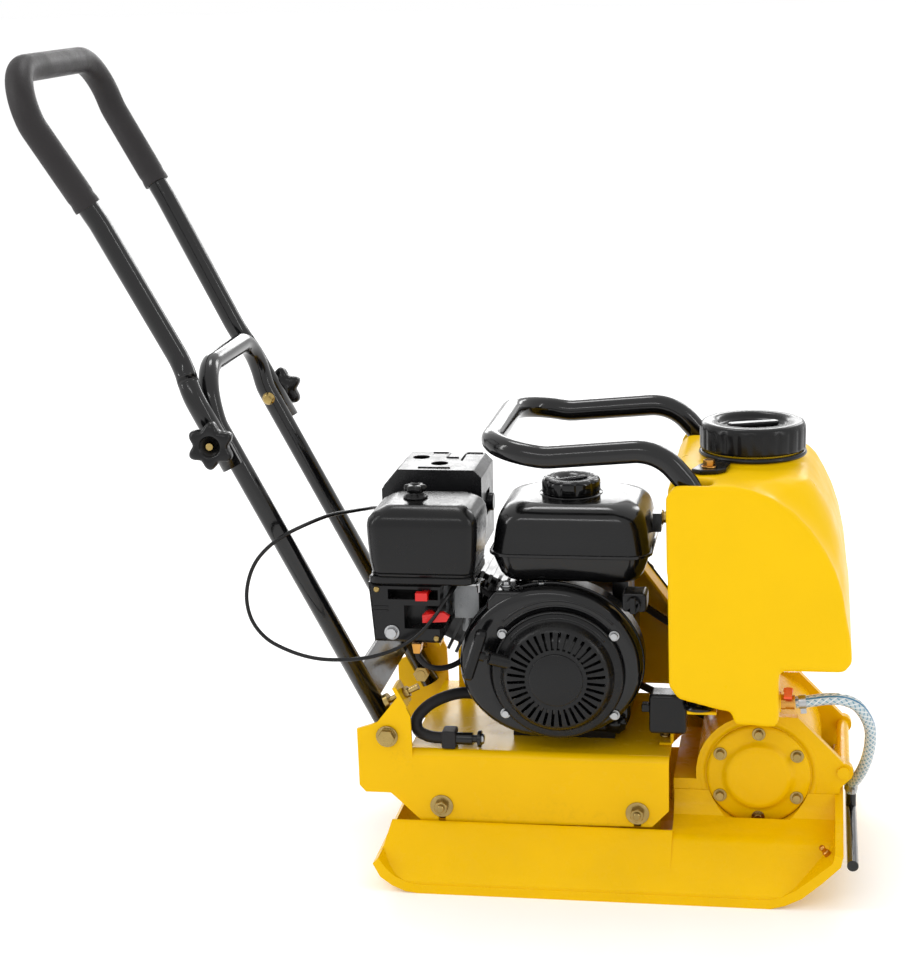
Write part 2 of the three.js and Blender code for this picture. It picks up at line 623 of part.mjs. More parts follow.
function chokeLever() {
  const { x, y, z } = CHOKE;
  const arm = join(rod('z', 5, z - 3, z + 3, x, y, 12), block(x - 4, x + 4, -152, y, z - 3, z + 2),
    block(x - 9, x + 6, -158, -149, z - 4, z + 6));
  return node('choke_lever', arm, RED);
}

function fuelCockLever() {
  const { x, z } = COCK;
  const arm = join(rod('y', 7, -146, -132.3, x, z, 14), prism([[x - 6, z - 5], [x + 24, z - 3],
    [x + 28, z + 4], [x + 20, z + 9], [x - 6, z + 5]], 'y', -151, -144.6));
  return node('fuel_cock_lever', arm, RED);
}

function throttleLever() {
  const { x, y, z } = THROTTLE;
  const plate = join(rod('z', 7, z, z + 3, x, y, 14), block(x - 22, x, y - 22, y - 12, z, z + 3),
    block(x - 4, x + 4, y - 20, y, z, z + 3), rod('z', 3, z - 14, z, x, y, 10));
  return node('throttle_lever', plate, STEEL);
}

const SWITCH = { x: 30, z: 358 };

function engineSwitch() {
  const box = prism(roundRect(SWITCH.x - 12, SWITCH.x + 18, SWITCH.z - 10, SWITCH.z + 14, 5),
    'y', -138, -104, 2);
  return node('engine_switch', box, PLASTIC);
}

function switchLever() {
  const knob = join(rod('y', 9, -146, -138.3, SWITCH.x + 2, SWITCH.z, 16),
    block(SWITCH.x - 1, SWITCH.x + 5, -152, -145, SWITCH.z - 8, SWITCH.z + 12));
  return node('switch_lever', knob, PLASTIC);
}

function oilAlertBox() {
  const box = prism(roundRect(50, 96, 190, 241, 5), 'y', -134, -100, 3);
  return node('oil_alert_unit', join(box, block(40, 52, -122, -108, 214, 224)), PLASTIC);
}

// ---------- starter ----------
const ROPE_DIR = new THREE.Vector3(-0.92, -0.27, 0.3).normalize();
const ROPE_EXIT = new THREE.Vector3(-133, -160, 289);
const GRIP_DIR = new THREE.Vector3(-0.385, 0, -0.923);

// Places a shape drawn along +Z, with its length along Y, on the rope's line.
function alongRope(shape, distance) {
  const x = new THREE.Vector3().crossVectors(GRIP_DIR, ROPE_DIR).normalize();
  const y = new THREE.Vector3().crossVectors(ROPE_DIR, x);
  const at = ROPE_EXIT.clone().addScaledVector(ROPE_DIR, distance);
  return shape.transform(new THREE.Matrix4().makeBasis(x, y, ROPE_DIR).setPosition(at).toArray());
}

function starterGrip() {
  const bar = prism(roundRect(-8, 8, -34, 34, 7), 'z', 0, 13, 3);
  const neck = rod('z', 6, -6, 2, 0, 0, 12);
  return node('starter_grip', alongRope(join(bar, neck), 24), PLASTIC);
}

// ---------- oil drain ----------
function drainHose() {
  const points = [[-143, -72, 204], [-162, -72, 211], [-190, -78, 217], [-218, -91, 213],
    [-237, -102, 203], [-247, -109, 190], [-244, -116, 178.5], [-230, -121, 173], [-202, -124, 172]];
  const clamp = block(-211, -193, -136, -113, 162, 185);
  const plug = join(rod('x', 8, -194, -172, -125.5, 173, 14), rod('x', 5, -173, -165, -125.5, 173,
    12), rod('x', 11, -166, -161, -125.5, 173, 18));
  return node('oil_drain_hose', join(cord(points, 7.5, 10, 24), clamp, plug), RUBBER);
}

// ---------- throttle cable ----------
// The outer cable leaves the engine's control lever, bows out past the handle on the
// near side and comes back in behind the air cleaner to the hand lever on the far side.
function throttleCable() {
  const points = [[-190, -126, 373.5], [-199, -146, 361], [-212, -159, 342], [-232, -163, 320],
    [-258, -166, 303],
    [-290, -168, 292], [-325, -168, 287], [-362, -168, 288], [-396, -167, 297], [-424, -166, 312],
    [-441, -165, 334], [-447, -164, 361], [-443, -163, 388], [-433, -162, 410], [-416, -161, 429],
    [-396, -156, 443], [-374, -134, 451], [-352, -102, 454.5], [-332, -66, 451], [-321, -30, 445],
    [-317, 20, 434], [-315, 70, 418], [-304, 108, 402], [-276, 127, 391], [-246, 131, 388]];
  return node('throttle_cable', cord(points, 2.6, 6, 50), BLACK);
}

const HAND = { x: -214, y: 131, z: 378 };

// A sheet upright on the deck that carries the hand lever and the cable's far end.
function throttleStand() {
  const post = join(block(-228, -206, 108, 111, DECK_TOP - 2, 380),
    block(-246, -206, 108, 136, 377, 380), block(-244, -240, 126, 136, 379, 394));
  return cut(post, rod('x', 3, -250, -238, 131, 388, 10), rod('z', 3.3, 370, 400, HAND.x, 120, 10));
}

function throttleHandLever() {
  const arm = join(rod('z', 3, 374, 388, HAND.x, 120, 10), rod('z', 8, 380.3, 384, HAND.x, 120,
    14), block(HAND.x - 3, HAND.x + 3, 120, 172, 380.3, 384), rod('z', 8, 378, 392, HAND.x, 172,
    16));
  return node('throttle_hand_lever', arm, BLACK);
}

// ---------- water tank ----------
function tankSide(inset) {
  const i = inset;
  return [[76 + i, 262 + i], [88 + i, 246 + i], [140, 233 + i], [208 - i, 233 + i],
    [210 - i, 285 + i], [286 - i, 285 + i], [296 - i, 297 + i], [294 - i, 330], [288 - i, 370],
    [279 - i, 432], [268 - i, 482], [254 - i, 504 - i], [236, TANK_TOP - i], [84 + i, TANK_TOP - i],
    [72 + i, 500 - i]];
}

// Slanting half-space that takes the tank's front upper corner off on one side.
function tankChamfer(side, inset) {
  const normal = new THREE.Vector3(0.475, side * 0.766, 0.433).normalize();
  const crease = new THREE.Vector3(140, side * TANK_HALF, 525).addScaledVector(normal, -inset);
  const q = new THREE.Quaternion().setFromUnitVectors(new THREE.Vector3(0, 0, 1), normal);
  const m = new THREE.Matrix4().makeRotationFromQuaternion(q).setPosition(crease);
  return block(-400, 400, -400, 400, 0, 200).transform(m.toArray());
}

function waterTank() {
  const h = TANK_HALF;
  const body = prism(tankSide(0), 'y', -h, h, 14, 3);
  const sump = prism([[148, 245], [156, 215], [205, 214], [210, 222], [210, 245]], 'y', -h, -100,
    5);
  const neck = rod('z', NECK.r, TANK_TOP - 4, NECK.top, NECK.x, 0, 40);
  const outer = join(cut(body, tankChamfer(-1, 0), tankChamfer(1, 0)), sump, neck);
  const w = TANK_WALL;
  const cavity = cut(prism(tankSide(w), 'y', -h + w, h - w), tankChamfer(-1, w),
    tankChamfer(1, w), ...bothSides((s) => block(60, 130, s > 0 ? 117 : -h, s > 0 ? h : -117,
      200, 560)));
  const mouth = rod('z', NECK.r - 6, TANK_TOP - 20, NECK.top + 10, NECK.x, 0, 36);
  const grooves = bothSides((s) => block(60, 127, s * 139 - 15.5, s * 139 + 15.5, 200, 560));
  const sumpHollow = block(160, 204, -h + w, -105, 220, 250);
  const beltNotch = block(60, 176, 78, h + 5, 200, 300);
  const hollow = cut(join(cavity, mouth, sumpHollow), block(60, 181, 73, h + 5, 200, 305));
  return node('water_tank', cut(outer, hollow, beltNotch, ...grooves), TANK_YELLOW);
}

function waterCap() {
  const { x, r, top } = NECK;
  const z = TANK_TOP + 12;
  const cup = [[0, top + 12], [40, top + 12], [44, top + 20], [62, top + 20], [66, z], [r + 0.8, z],
    [r + 0.8, top + 2], [0, top + 2]];
  return node('water_tank_cap', turned(cup, 'z', x, 0, 40), BLACK);
}

const VALVE = { y: -130, z: 236 };

function waterValve() {
  const { y, z } = VALVE;
  const body = join(rod('x', 9, 210.3, 228, y, z, 16), hexBar('x', 17, 211, 217, y, z),
    rod('z', 5, z + 4, z + 13, 220, y, 12));
  return node('water_valve', cut(body, rod('x', 4, 200, 240, y, z, 12)), BRASS);
}

function valveLever() {
  const { y, z } = VALVE;
  const lever = join(rod('z', 6, z + 13.3, z + 17, 220, y, 14),
    block(215, 225, y - 30, y, z + 14, z + 17));
  return node('water_valve_lever', lever, ORANGE);
}

function waterHose() {
  const points = [[229, -130, 236], [246, -130, 238], [266, -129, 241], [285, -126, 240],
    [302, -119, 231], [313, -110, 215], [320, -98, 194], [321, -85, 170], [318, -71, 145],
    [312, -57, 122], [305, -42, 104], [300, -32, 94], [300, -30, 82.6]];
  return node('water_hose', cord(points, 7.4, 10, 26), CLEAR);
}

function sprayPipe() {
  const { x, z, r, tee } = SPRAY;
  const tube = cut(rod('y', r, -213, 96, x, z, 14), rod('y', r - 1.6, -205, 88, x, z, 12));
  const neck = cut(rod('z', 6.5, z + 4, z + 21.5, x, tee, 12), rod('z', 4.5, z, z + 30, x, tee, 10));
  const holes = [];
  for (let i = -6; i <= 2; i++) holes.push(rod('z', 1.6, z - 9, z - 3, x, i * 30, 6));
  return node('spray_pipe', cut(join(tube, neck), ...holes), BLACK_TUBE);
}

// ---------- handle ----------
function handleLower() {
  const leg = (s) => [[0, s * LOWER_TUBE_Y, -20], [0, s * LOWER_TUBE_Y, 446],
    [17, s * LOWER_TUBE_Y, 514]];
  const path = [...leg(-1), ...leg(1).reverse()];
  const tube = cut(pipe(path, TUBE_R, 56, 12, 6), pipe(path.map((p, i) => (i === 0 || i === 5
    ? [p[0], p[1], p[2] - 1] : p)), TUBE_R - TUBE_WALL, 56, 12, 6));
  const plate = block(-5, 1, -LOWER_TUBE_Y + 11, LOWER_TUBE_Y - 11, 40, 88);
  const holes = bothSides((s) => join(rod('y', 6.4, s * LOWER_TUBE_Y - 16,
    s * LOWER_TUBE_Y + 16, 0, 0, 14), rod('y', 5, s * LOWER_TUBE_Y - 16, s * LOWER_TUBE_Y + 16, 0,
    HINGE_UP, 12)));
  return node('handle_lower', cut(join(tube, plate), ...holes), BLACK_TUBE);
}

function pivotBolt(s, side) {
  const range = (a, b) => (s > 0 ? [a, b] : [-b, -a]);
  const bolt = join(rod('y', 6, ...range(98, 149), 0, 0, 14), hexBar('y', 19, ...range(145.4, 153),
    0, 0), rod('y', 14, ...range(DECK_HALF + GAP, 145.5), 0, 0, 20),
  hexBar('y', 19, ...range(99, 108.8), 0, 0));
  return node(`pivot_bolt_${side}`, bolt, ZINC);
}

const upperPath = () => {
  const leg = (s) => [[0, s * UPPER_TUBE_Y, -38], [0, s * UPPER_TUBE_Y, 66], [2, s * 130, 98],
    [2, s * 141, 300], [-6, s * 156, 440], [3, s * 158, 508]];
  return [...leg(-1), ...leg(1).reverse()];
};

function handleUpper() {
  const path = upperPath();
  const bore = path.map((p, i) => (i === 0 || i === path.length - 1 ? [p[0], p[1], p[2] - 1] : p));
  const tube = cut(pipe(path, UPPER_TUBE_R, 66, 12, 5),
    pipe(bore, UPPER_TUBE_R - TUBE_WALL, 66, 12, 5));
  const holes = bothSides((s) => rod('y', 5, s * UPPER_TUBE_Y - 16, s * UPPER_TUBE_Y + 16, 0, 0,
    12));
  return node('handle_upper', cut(tube, ...holes), BLACK_TUBE);
}

function rubberGrip() {
  const sleeve = pipe(upperPath(), GRIP_R, 66, 12, 5);
  const bore = pipe(upperPath(), UPPER_TUBE_R + GAP, 66, 12, 5);
  return node('rubber_grip', cut(sleeve, bore, block(-60, 60, -200, 200, -60, 322)), RUBBER);
}

function starKnob(s, side) {
  const face = s * (UPPER_TUBE_Y + TUBE_R + 1);
  const points = [];
  for (let i = 0; i < 42; i++) {
    const a = (i / 42) * 2 * Math.PI;
    const r = 26 + 4 * Math.cos(6 * a);
    points.push([r * Math.cos(a), r * Math.sin(a)]);
  }
  const [y0, y1] = s > 0 ? [face + 7, face + 27] : [face - 27, face - 7];
  const star = prism(points, 'y', y0, y1, 3);
  const boss = rod('y', 12, Math.min(face, face + s * 8), Math.max(face, face + s * 8), 0, 0, 18);
  const bore = rod('y', 5, s * 140 - 60, s * 140 + 60, 0, 0, 12);
  return node(`star_knob_${side}`, cut(join(star, boss), bore), PLASTIC);
}

function carriageBolt(s, side) {
  const inner = s * (LOWER_TUBE_Y - TUBE_R - GAP);
  const head = turned([[0, inner - s * 5], [6, inner - s * 4], [9, inner], [0, inner]], 'y', 0, 0,
    16);
  const tip = s * (UPPER_TUBE_Y + TUBE_R + 26);
  const shank = rod('y', 4.7, Math.min(inner, tip), Math.max(inner, tip), 0, 0, 12);
  return node(`carriage_bolt_${side}`, join(head, shank), ZINC);
}

// ---------- assembly ----------
const exciterRotor = group(
  eccentricShaft(),
  node('driven_pulley', grooved(EXCITER_PULLEY_R, 14.3, EXCITER.x, EXCITER.z), STEEL),
);

const base = group(
  basePlate(),
  exciterHousing(),
  exciterCover('exciter_cover_near', -1, false),
  exciterCover('exciter_cover_far', 1, true),
  ...bothSides((s, side) => exciterBearing(`exciter_bearing_${side}`, s)),
  sprayPipe(),
  exciterRotor,
);

const engine = group(
  crankcase(), cylinderHead(), fanHousing(), recoilCover(), flywheel(), crankshaft(),
  clutchPulley(), fuelTank(), fuelCap(), airCleanerBase(), airCleanerCover(), airFilter(),
  airCleanerKnob(), carburettor(), muffler(), mufflerGuard(), chokeLever(),
  fuelCockLever(), throttleLever(), engineSwitch(), switchLever(),
  oilAlertBox(), starterGrip(), drainHose(),
);

const water = group(waterTank(), waterCap(), waterValve(), valveLever(), waterHose());

const handleTop = group(handleUpper(), rubberGrip(), ...bothSides(starKnob));
handleTop.position.z = HINGE_UP;
const hingeBolts = group(...bothSides(carriageBolt));
hingeBolts.position.z = HINGE_UP;
const handle = group(handleLower(), handleTop, hingeBolts, ...bothSides(pivotBolt));
handle.position.set(PIVOT.x, 0, PIVOT.z);
handle.rotation.y = -LEAN;

const machine = group(
  base, ...rubberMounts(), deck(), ...bothSides(stopBolt), tankBracket(), rollBar(), beltGuard(),
  driveBelt(), engine, water, throttleCable(), throttleHandLever(), handle,
);

export default machine;
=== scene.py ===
"""Plate compactor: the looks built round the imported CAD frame. Metres, +X forward, +Z up."""

import math

import bmesh
import bpy
from mathutils import Matrix, Vector


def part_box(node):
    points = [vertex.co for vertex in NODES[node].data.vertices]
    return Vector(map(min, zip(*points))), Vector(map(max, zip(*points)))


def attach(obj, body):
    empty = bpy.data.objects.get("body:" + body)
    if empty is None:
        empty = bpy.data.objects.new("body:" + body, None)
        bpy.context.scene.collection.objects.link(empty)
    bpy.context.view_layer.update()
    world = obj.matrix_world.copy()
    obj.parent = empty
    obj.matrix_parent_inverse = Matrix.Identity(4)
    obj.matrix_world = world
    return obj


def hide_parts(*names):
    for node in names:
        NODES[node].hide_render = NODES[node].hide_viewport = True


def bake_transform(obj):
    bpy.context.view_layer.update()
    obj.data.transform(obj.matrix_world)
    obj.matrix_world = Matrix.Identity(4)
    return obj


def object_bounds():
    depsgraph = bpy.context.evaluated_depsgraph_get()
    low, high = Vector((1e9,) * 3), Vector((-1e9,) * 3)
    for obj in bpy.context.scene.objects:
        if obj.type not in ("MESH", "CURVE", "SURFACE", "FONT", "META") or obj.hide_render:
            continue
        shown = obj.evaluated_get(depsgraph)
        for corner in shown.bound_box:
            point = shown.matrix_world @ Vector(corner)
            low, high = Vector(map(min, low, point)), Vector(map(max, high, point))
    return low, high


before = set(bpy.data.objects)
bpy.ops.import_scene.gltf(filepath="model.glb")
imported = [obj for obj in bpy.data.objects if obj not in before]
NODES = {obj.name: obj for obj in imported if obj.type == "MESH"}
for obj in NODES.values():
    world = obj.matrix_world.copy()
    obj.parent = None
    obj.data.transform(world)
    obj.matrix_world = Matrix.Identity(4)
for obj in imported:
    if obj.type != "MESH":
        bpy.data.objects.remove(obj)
CAD_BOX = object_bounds()
MM = 0.001

# Places shared with the CAD, in millimetres.
CRANK = (-61.4, 267.0)
EXCITER = (184.0, 127.0)
PIVOT = (-279.0, 179.0)
LEAN = math.radians(27.6)
HINGE_UP = 430.0
LOWER_Y = 122.0
UPPER_Y = 149.0
TUBE_R = 12.7
UPPER_R = 13.3
MOUNT_X = {"rear": -211.5, "front": 36.0}
MOUNT_Z = 88.0
ROLL_BAR_X = 112.0
ROLL_BAR_Y = 139.0
ROLL_BAR_R = 14.0
FUEL_NECK = (-54.0, -38.0)
CLEANER_STUD = (-243.0, -93.0)
TANK_NECK = (171.0, 0.0)
TANK_HALF = 165.0
VALVE = (-130.0, 236.0)
DRAIN = (-125.5, 173.0)
ROPE_DIR = Vector((-0.92, -0.27, 0.3)).normalized()
ROPE_EXIT = Vector((-133.0, -160.0, 289.0))

# The camera: degrees, metres and millimetres of lens.
CAMERA_AZIMUTH = 9.53
CAMERA_ELEVATION = 13.64
CAMERA_ROLL = -1.41
CAMERA_TARGET = (-0.20392, 0.0, 0.47117)
CAMERA_DISTANCE = 2.8015
CAMERA_LENS = 80.84


# ---------- materials ----------
def linear(rgb):
    """sRGB 0-255 to the linear colour that the shader takes."""
    def one(v):
        v /= 255.0
        return v / 12.92 if v <= 0.04045 else ((v + 0.055) / 1.055) ** 2.4
    return tuple(one(v) for v in rgb) + (1.0,)


def new_material(name):
    mat = bpy.data.materials.new(name)
    mat.use_nodes = True
    tree = mat.node_tree
    tree.nodes.clear()
    out = tree.nodes.new("ShaderNodeOutputMaterial")
    shader = tree.nodes.new("ShaderNodeBsdfPrincipled")
    tree.links.new(shader.outputs["BSDF"], out.inputs["Surface"])
    return mat, tree, shader


def noise(tree, coords, scale, detail=4.0, rough=0.55):
    node = tree.nodes.new("ShaderNodeTexNoise")
    node.inputs["Scale"].default_value = scale
    node.inputs["Detail"].default_value = detail
    node.inputs["Roughness"].default_value = rough
    tree.links.new(coords, node.inputs["Vector"])
    return node.outputs["Fac"]


def remap(tree, value, from_low, from_high, low=0.0, high=1.0):
    node = tree.nodes.new("ShaderNodeMapRange")
    node.inputs["From Min"].default_value = from_low
    node.inputs["From Max"].default_value = from_high
    node.inputs["To Min"].default_value = low
    node.inputs["To Max"].default_value = high
    tree.links.new(value, node.inputs["Value"])
    return node.outputs["Result"]


def mix(tree, factor, a, b):
    node = tree.nodes.new("ShaderNodeMix")
    node.data_type = "RGBA"
    for socket, value in ((node.inputs["Factor"], factor), (node.inputs[6], a), (node.inputs[7], b)):
        if isinstance(value, (tuple, float)):
            socket.default_value = value
        else:
            tree.links.new(value, socket)
    return node.outputs[2]


def multiply(tree, a, b):
    node = tree.nodes.new("ShaderNodeMath")
    node.operation = "MULTIPLY"
    tree.links.new(a, node.inputs[0])
    tree.links.new(b, node.inputs[1])
    return node.outputs[0]


def surface(name, rgb, rough, metal=0.0, coat=0.0, vary=0.12, vary_scale=9.0, grain=900.0,
            grain_bump=0.08, swell=60.0, swell_bump=0.0, dust=0.0, wear=0.0, wear_rgb=None,
            brushed=None, spec=0.5):
    """A finish with colour drift, patchy gloss, fine grain, edge wear and settled dust."""
    mat, tree, shader = new_material(name)
    coords = tree.nodes.new("ShaderNodeTexCoord").outputs["Object"]
    base = linear(rgb)
    dark = tuple(c * (1.0 - vary) for c in base[:3]) + (1.0,)
    patches = remap(tree, noise(tree, coords, vary_scale, 6.0), 0.35, 0.68)
    colour = mix(tree, patches, base, dark)
    geometry = tree.nodes.new("ShaderNodeNewGeometry")
    if wear:
        edges = remap(tree, geometry.outputs["Pointiness"], 0.53, 0.62, 0.0, wear)
        chips = remap(tree, noise(tree, coords, 160.0, 8.0, 0.7), 0.5, 0.62)
        colour = mix(tree, multiply(tree, edges, chips), colour, linear(wear_rgb or (120, 118, 112)))
    if dust:
        split = tree.nodes.new("ShaderNodeSeparateXYZ")
        tree.links.new(geometry.outputs["Normal"], split.inputs[0])
        up = remap(tree, split.outputs["Z"], 0.55, 1.0, 0.0, dust)
        fall = remap(tree, noise(tree, coords, 34.0, 8.0, 0.65), 0.45, 0.7)
        colour = mix(tree, multiply(tree, up, fall), colour, linear((176, 168, 150)))
    tree.links.new(colour, shader.inputs["Base Color"])
    gloss = noise(tree, coords, 26.0, 8.0, 0.62)
    tree.links.new(remap(tree, gloss, 0.3, 0.7, max(rough - 0.07, 0.03), rough + 0.1),
                   shader.inputs["Roughness"])
    shader.inputs["Metallic"].default_value = metal
    shader.inputs["Specular IOR Level"].default_value = spec
    shader.inputs["Coat Weight"].default_value = coat
    shader.inputs["Coat Roughness"].default_value = 0.09
    grain_coords = coords
    if brushed:
        stretch = tree.nodes.new("ShaderNodeMapping")
        stretch.inputs["Scale"].default_value = brushed
        tree.links.new(coords, stretch.inputs["Vector"])
        grain_coords = stretch.outputs["Vector"]
    fine = tree.nodes.new("ShaderNodeBump")
    fine.inputs["Strength"].default_value = grain_bump
    fine.inputs["Distance"].default_value = 0.0006
    tree.links.new(noise(tree, grain_coords, grain, 3.0), fine.inputs["Height"])
    if swell_bump:
        broad = tree.nodes.new("ShaderNodeBump")
        broad.inputs["Strength"].default_value = swell_bump
        broad.inputs["Distance"].default_value = 0.002
        tree.links.new(noise(tree, coords, swell, 2.0), broad.inputs["Height"])
        tree.links.new(broad.outputs["Normal"], fine.inputs["Normal"])
    tree.links.new(fine.outputs["Normal"], shader.inputs["Normal"])
    return mat


def braided_hose(name):
    """Clear vinyl over a braid: two sets of crossing yarns, drawn on the tube's own UVs."""
    mat, tree, shader = new_material(name)
    uv = tree.nodes.new("ShaderNodeUVMap").outputs["UV"]
    cover = None
    for turn in (1.0, -1.0):
        mapping = tree.nodes.new("ShaderNodeMapping")
        mapping.inputs["Rotation"].default_value = (0.0, 0.0, turn * math.radians(38))
        tree.links.new(uv, mapping.inputs["Vector"])
        wave = tree.nodes.new("ShaderNodeTexWave")
        wave.inputs["Scale"].default_value = 58.0
        tree.links.new(mapping.outputs["Vector"], wave.inputs["Vector"])
        yarn = remap(tree, wave.outputs["Fac"], 0.72, 0.9)
        colour = linear((96, 146, 172)) if turn > 0 else linear((226, 230, 231))
        cover = mix(tree, yarn, cover or linear((186, 202, 206)), colour)
    across = tree.nodes.new("ShaderNodeSeparateXYZ")
    tree.links.new(uv, across.inputs[0])
    stripe = multiply(tree, remap(tree, across.outputs["X"], 0.0106, 0.0112),
                      remap(tree, across.outputs["X"], 0.0136, 0.013))
    cover = mix(tree, stripe, cover, linear((44, 118, 160)))
    tree.links.new(cover, shader.inputs["Base Color"])
    bump = tree.nodes.new("ShaderNodeBump")
    bump.inputs["Strength"].default_value = 0.35
    bump.inputs["Distance"].default_value = 0.0005
    tree.links.new(cover, bump.inputs["Height"])
    tree.links.new(bump.outputs["Normal"], shader.inputs["Normal"])
    shader.inputs["Roughness"].default_value = 0.12
    shader.inputs["Coat Weight"].default_value = 0.8
    shader.inputs["Transmission Weight"].default_value = 0.25
    return mat


YELLOW = surface("yellow_enamel", (230, 181, 0), 0.22, coat=0.03, vary=0.05, swell=46.0,
                 swell_bump=0.1, grain=500.0, grain_bump=0.04, wear=0.12, dust=0.015,
                 wear_rgb=(150, 118, 20), spec=0.11)
YELLOW_CAST = surface("yellow_cast", (231, 182, 0), 0.26, coat=0.03, vary=0.07, swell=90.0,
                      swell_bump=0.22, grain=600.0, grain_bump=0.1, wear=0.16, dust=0.02,
                      wear_rgb=(140, 110, 24), spec=0.11)
TANK = surface("tank_plastic", (234, 188, 0), 0.34, vary=0.04, swell=34.0, swell_bump=0.08,
               grain=1500.0, grain_bump=0.1, wear=0.0, dust=0.01, spec=0.12)
BLACK = surface("black_enamel", (11, 11, 12), 0.16, coat=0.1, vary=0.2, grain=1100.0,
                grain_bump=0.03, wear=0.12, wear_rgb=(70, 70, 72), dust=0.01, spec=0.34)
TEXTURED = surface("black_textured", (13, 13, 14), 0.26, vary=0.2, grain=1500.0,
                   grain_bump=0.2, wear=0.1, wear_rgb=(60, 60, 62), dust=0.02, spec=0.28)
TUBE = surface("black_powder", (9, 9, 10), 0.13, coat=0.2, vary=0.2, swell=240.0,
               swell_bump=0.06, grain=900.0, grain_bump=0.04, wear=0.1, wear_rgb=(70, 70, 72),
               spec=0.35)
PLASTIC = surface("black_plastic", (14, 14, 15), 0.22, vary=0.15, grain=1700.0, grain_bump=0.05,
                  wear=0.08, wear_rgb=(56, 56, 58), dust=0.02, spec=0.28)
CHARCOAL = surface("dark_sheet", (25, 25, 27), 0.26, metal=0.2, vary=0.15, grain=1200.0,
                   grain_bump=0.1, wear=0.15, wear_rgb=(96, 96, 98), dust=0.04, spec=0.4)
RUBBER = surface("black_rubber", (27, 26, 28), 0.55, vary=0.18, grain=1300.0, grain_bump=0.4,
                 wear=0.15, wear_rgb=(62, 60, 60), dust=0.04, spec=0.3)
GRIP = surface("grip_rubber", (34, 31, 32), 0.5, vary=0.16, grain=900.0, grain_bump=0.5,
               swell=300.0, swell_bump=0.12, wear=0.2, wear_rgb=(66, 62, 62), spec=0.3)
STEEL = surface("machined_steel", (176, 177, 178), 0.28, metal=1.0, vary=0.14, grain=700.0,
                grain_bump=0.2, brushed=(1.0, 14.0, 1.0))
ZINC = surface("yellow_zinc", (172, 148, 92), 0.24, metal=1.0, vary=0.3, vary_scale=40.0,
               grain=900.0, grain_bump=0.12)
BRASS = surface("brass", (206, 150, 74), 0.26, metal=1.0, vary=0.2, vary_scale=50.0, grain=900.0,
                grain_bump=0.1)
ALLOY = surface("cast_alloy", (158, 160, 162), 0.46, metal=0.85, vary=0.2, grain=700.0,
                grain_bump=0.4, swell=160.0, swell_bump=0.2)
SHEET = surface("aluminised_sheet", (170, 172, 174), 0.32, metal=0.9, vary=0.16, vary_scale=16.0,
                grain=900.0, grain_bump=0.15, brushed=(1.0, 9.0, 1.0), dust=0.05)
RED = surface("red_plastic", (206, 14, 10), 0.3, vary=0.15, grain=1500.0, grain_bump=0.1)
ORANGE = surface("orange_plastic", (228, 80, 24), 0.34, vary=0.15, grain=1500.0, grain_bump=0.1)
ROPE = surface("rope", (40, 38, 37), 0.8, vary=0.3, vary_scale=600.0, grain=2600.0, grain_bump=0.8)
HOSE = braided_hose("braided_vinyl")


# ---------- mesh helpers (millimetres in, metres out) ----------
def piece(name, verts, faces, body, mat, replaces=(), bevel=0.0, segments=2, angle=32.0, uvs=None):
    """A mesh object in its finish, on its body, in place of the CAD node it stands for."""
    mesh = bpy.data.meshes.new(name)
    mesh.from_pydata([Vector(v) * MM for v in verts], [], faces)
    if uvs:
        layer = mesh.uv_layers.new(name="UVMap")
        for loop in mesh.loops:
            layer.data[loop.index].uv = uvs[loop.vertex_index]
    work = bmesh.new()
    work.from_mesh(mesh)
    bmesh.ops.remove_doubles(work, verts=work.verts, dist=1e-6)
    bmesh.ops.recalc_face_normals(work, faces=work.faces)
    work.to_mesh(mesh)
    work.free()
    obj = bpy.data.objects.new(name, mesh)
    bpy.context.scene.collection.objects.link(obj)
    dress(obj, mat, bevel, segments, angle)
    place(obj, body, replaces)
    return obj


def dress(obj, mat, bevel=0.0, segments=2, angle=32.0):
    """Smooth shading, one finish, and rounded edges where the faces meet at more than angle."""
    obj.data.materials.clear()
    obj.data.materials.append(mat)
    obj.data.shade_smooth()
    if bevel:
        mod = obj.modifiers.new("edges", "BEVEL")
        mod.width = bevel * MM
        mod.segments = segments
        mod.limit_method = "ANGLE"
        mod.angle_limit = math.radians(angle)
        mod.use_clamp_overlap = True
        mod.harden_normals = True
        mod = obj.modifiers.new("shade", "WEIGHTED_NORMAL")
        mod.keep_sharp = True


def place(obj, body, replaces=()):
    if body:
        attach(obj, body)
    if replaces:
        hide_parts(*([replaces] if isinstance(replaces, str) else replaces))


def keep(node, mat, bevel=1.0, segments=2, angle=32.0):
    """A CAD node whose shape stays: merged, edge-rounded and given its finish."""
    obj = NODES[node]
    if "custom_normal" in obj.data.attributes:
        obj.data.attributes.remove(obj.data.attributes["custom_normal"])
    weld = obj.modifiers.new("weld", "WELD")
    weld.merge_threshold = 1e-5
    flat = obj.modifiers.new("flat", "DECIMATE")
    flat.decimate_type = "DISSOLVE"
    flat.angle_limit = math.radians(0.4)
    dress(obj, mat, bevel, segments, angle)
    return obj


# For a part along each axis: the two directions across it, and its own.
AXES = {"x": ((0, 1, 0), (0, 0, 1), (1, 0, 0)), "y": ((1, 0, 0), (0, 0, 1), (0, 1, 0)),
        "z": ((1, 0, 0), (0, 1, 0), (0, 0, 1))}


def basis(axis):
    return [Vector(v) for v in AXES[axis]]


def prism(outline, axis, low, high):
    """An outline in the plane across an axis, drawn out between two heights along it."""
    a, b, c = basis(axis)
    verts = [a * u + b * v + c * h for h in (low, high) for u, v in outline]
    n = len(outline)
    faces = [list(range(n)), list(range(n, 2 * n))[::-1]]
    faces += [[i, (i + 1) % n, n + (i + 1) % n, n + i] for i in range(n)]
    return verts, faces


def box(x0, x1, y0, y1, z0, z1):
    return prism([(x0, y0), (x1, y0), (x1, y1), (x0, y1)], "z", z0, z1)


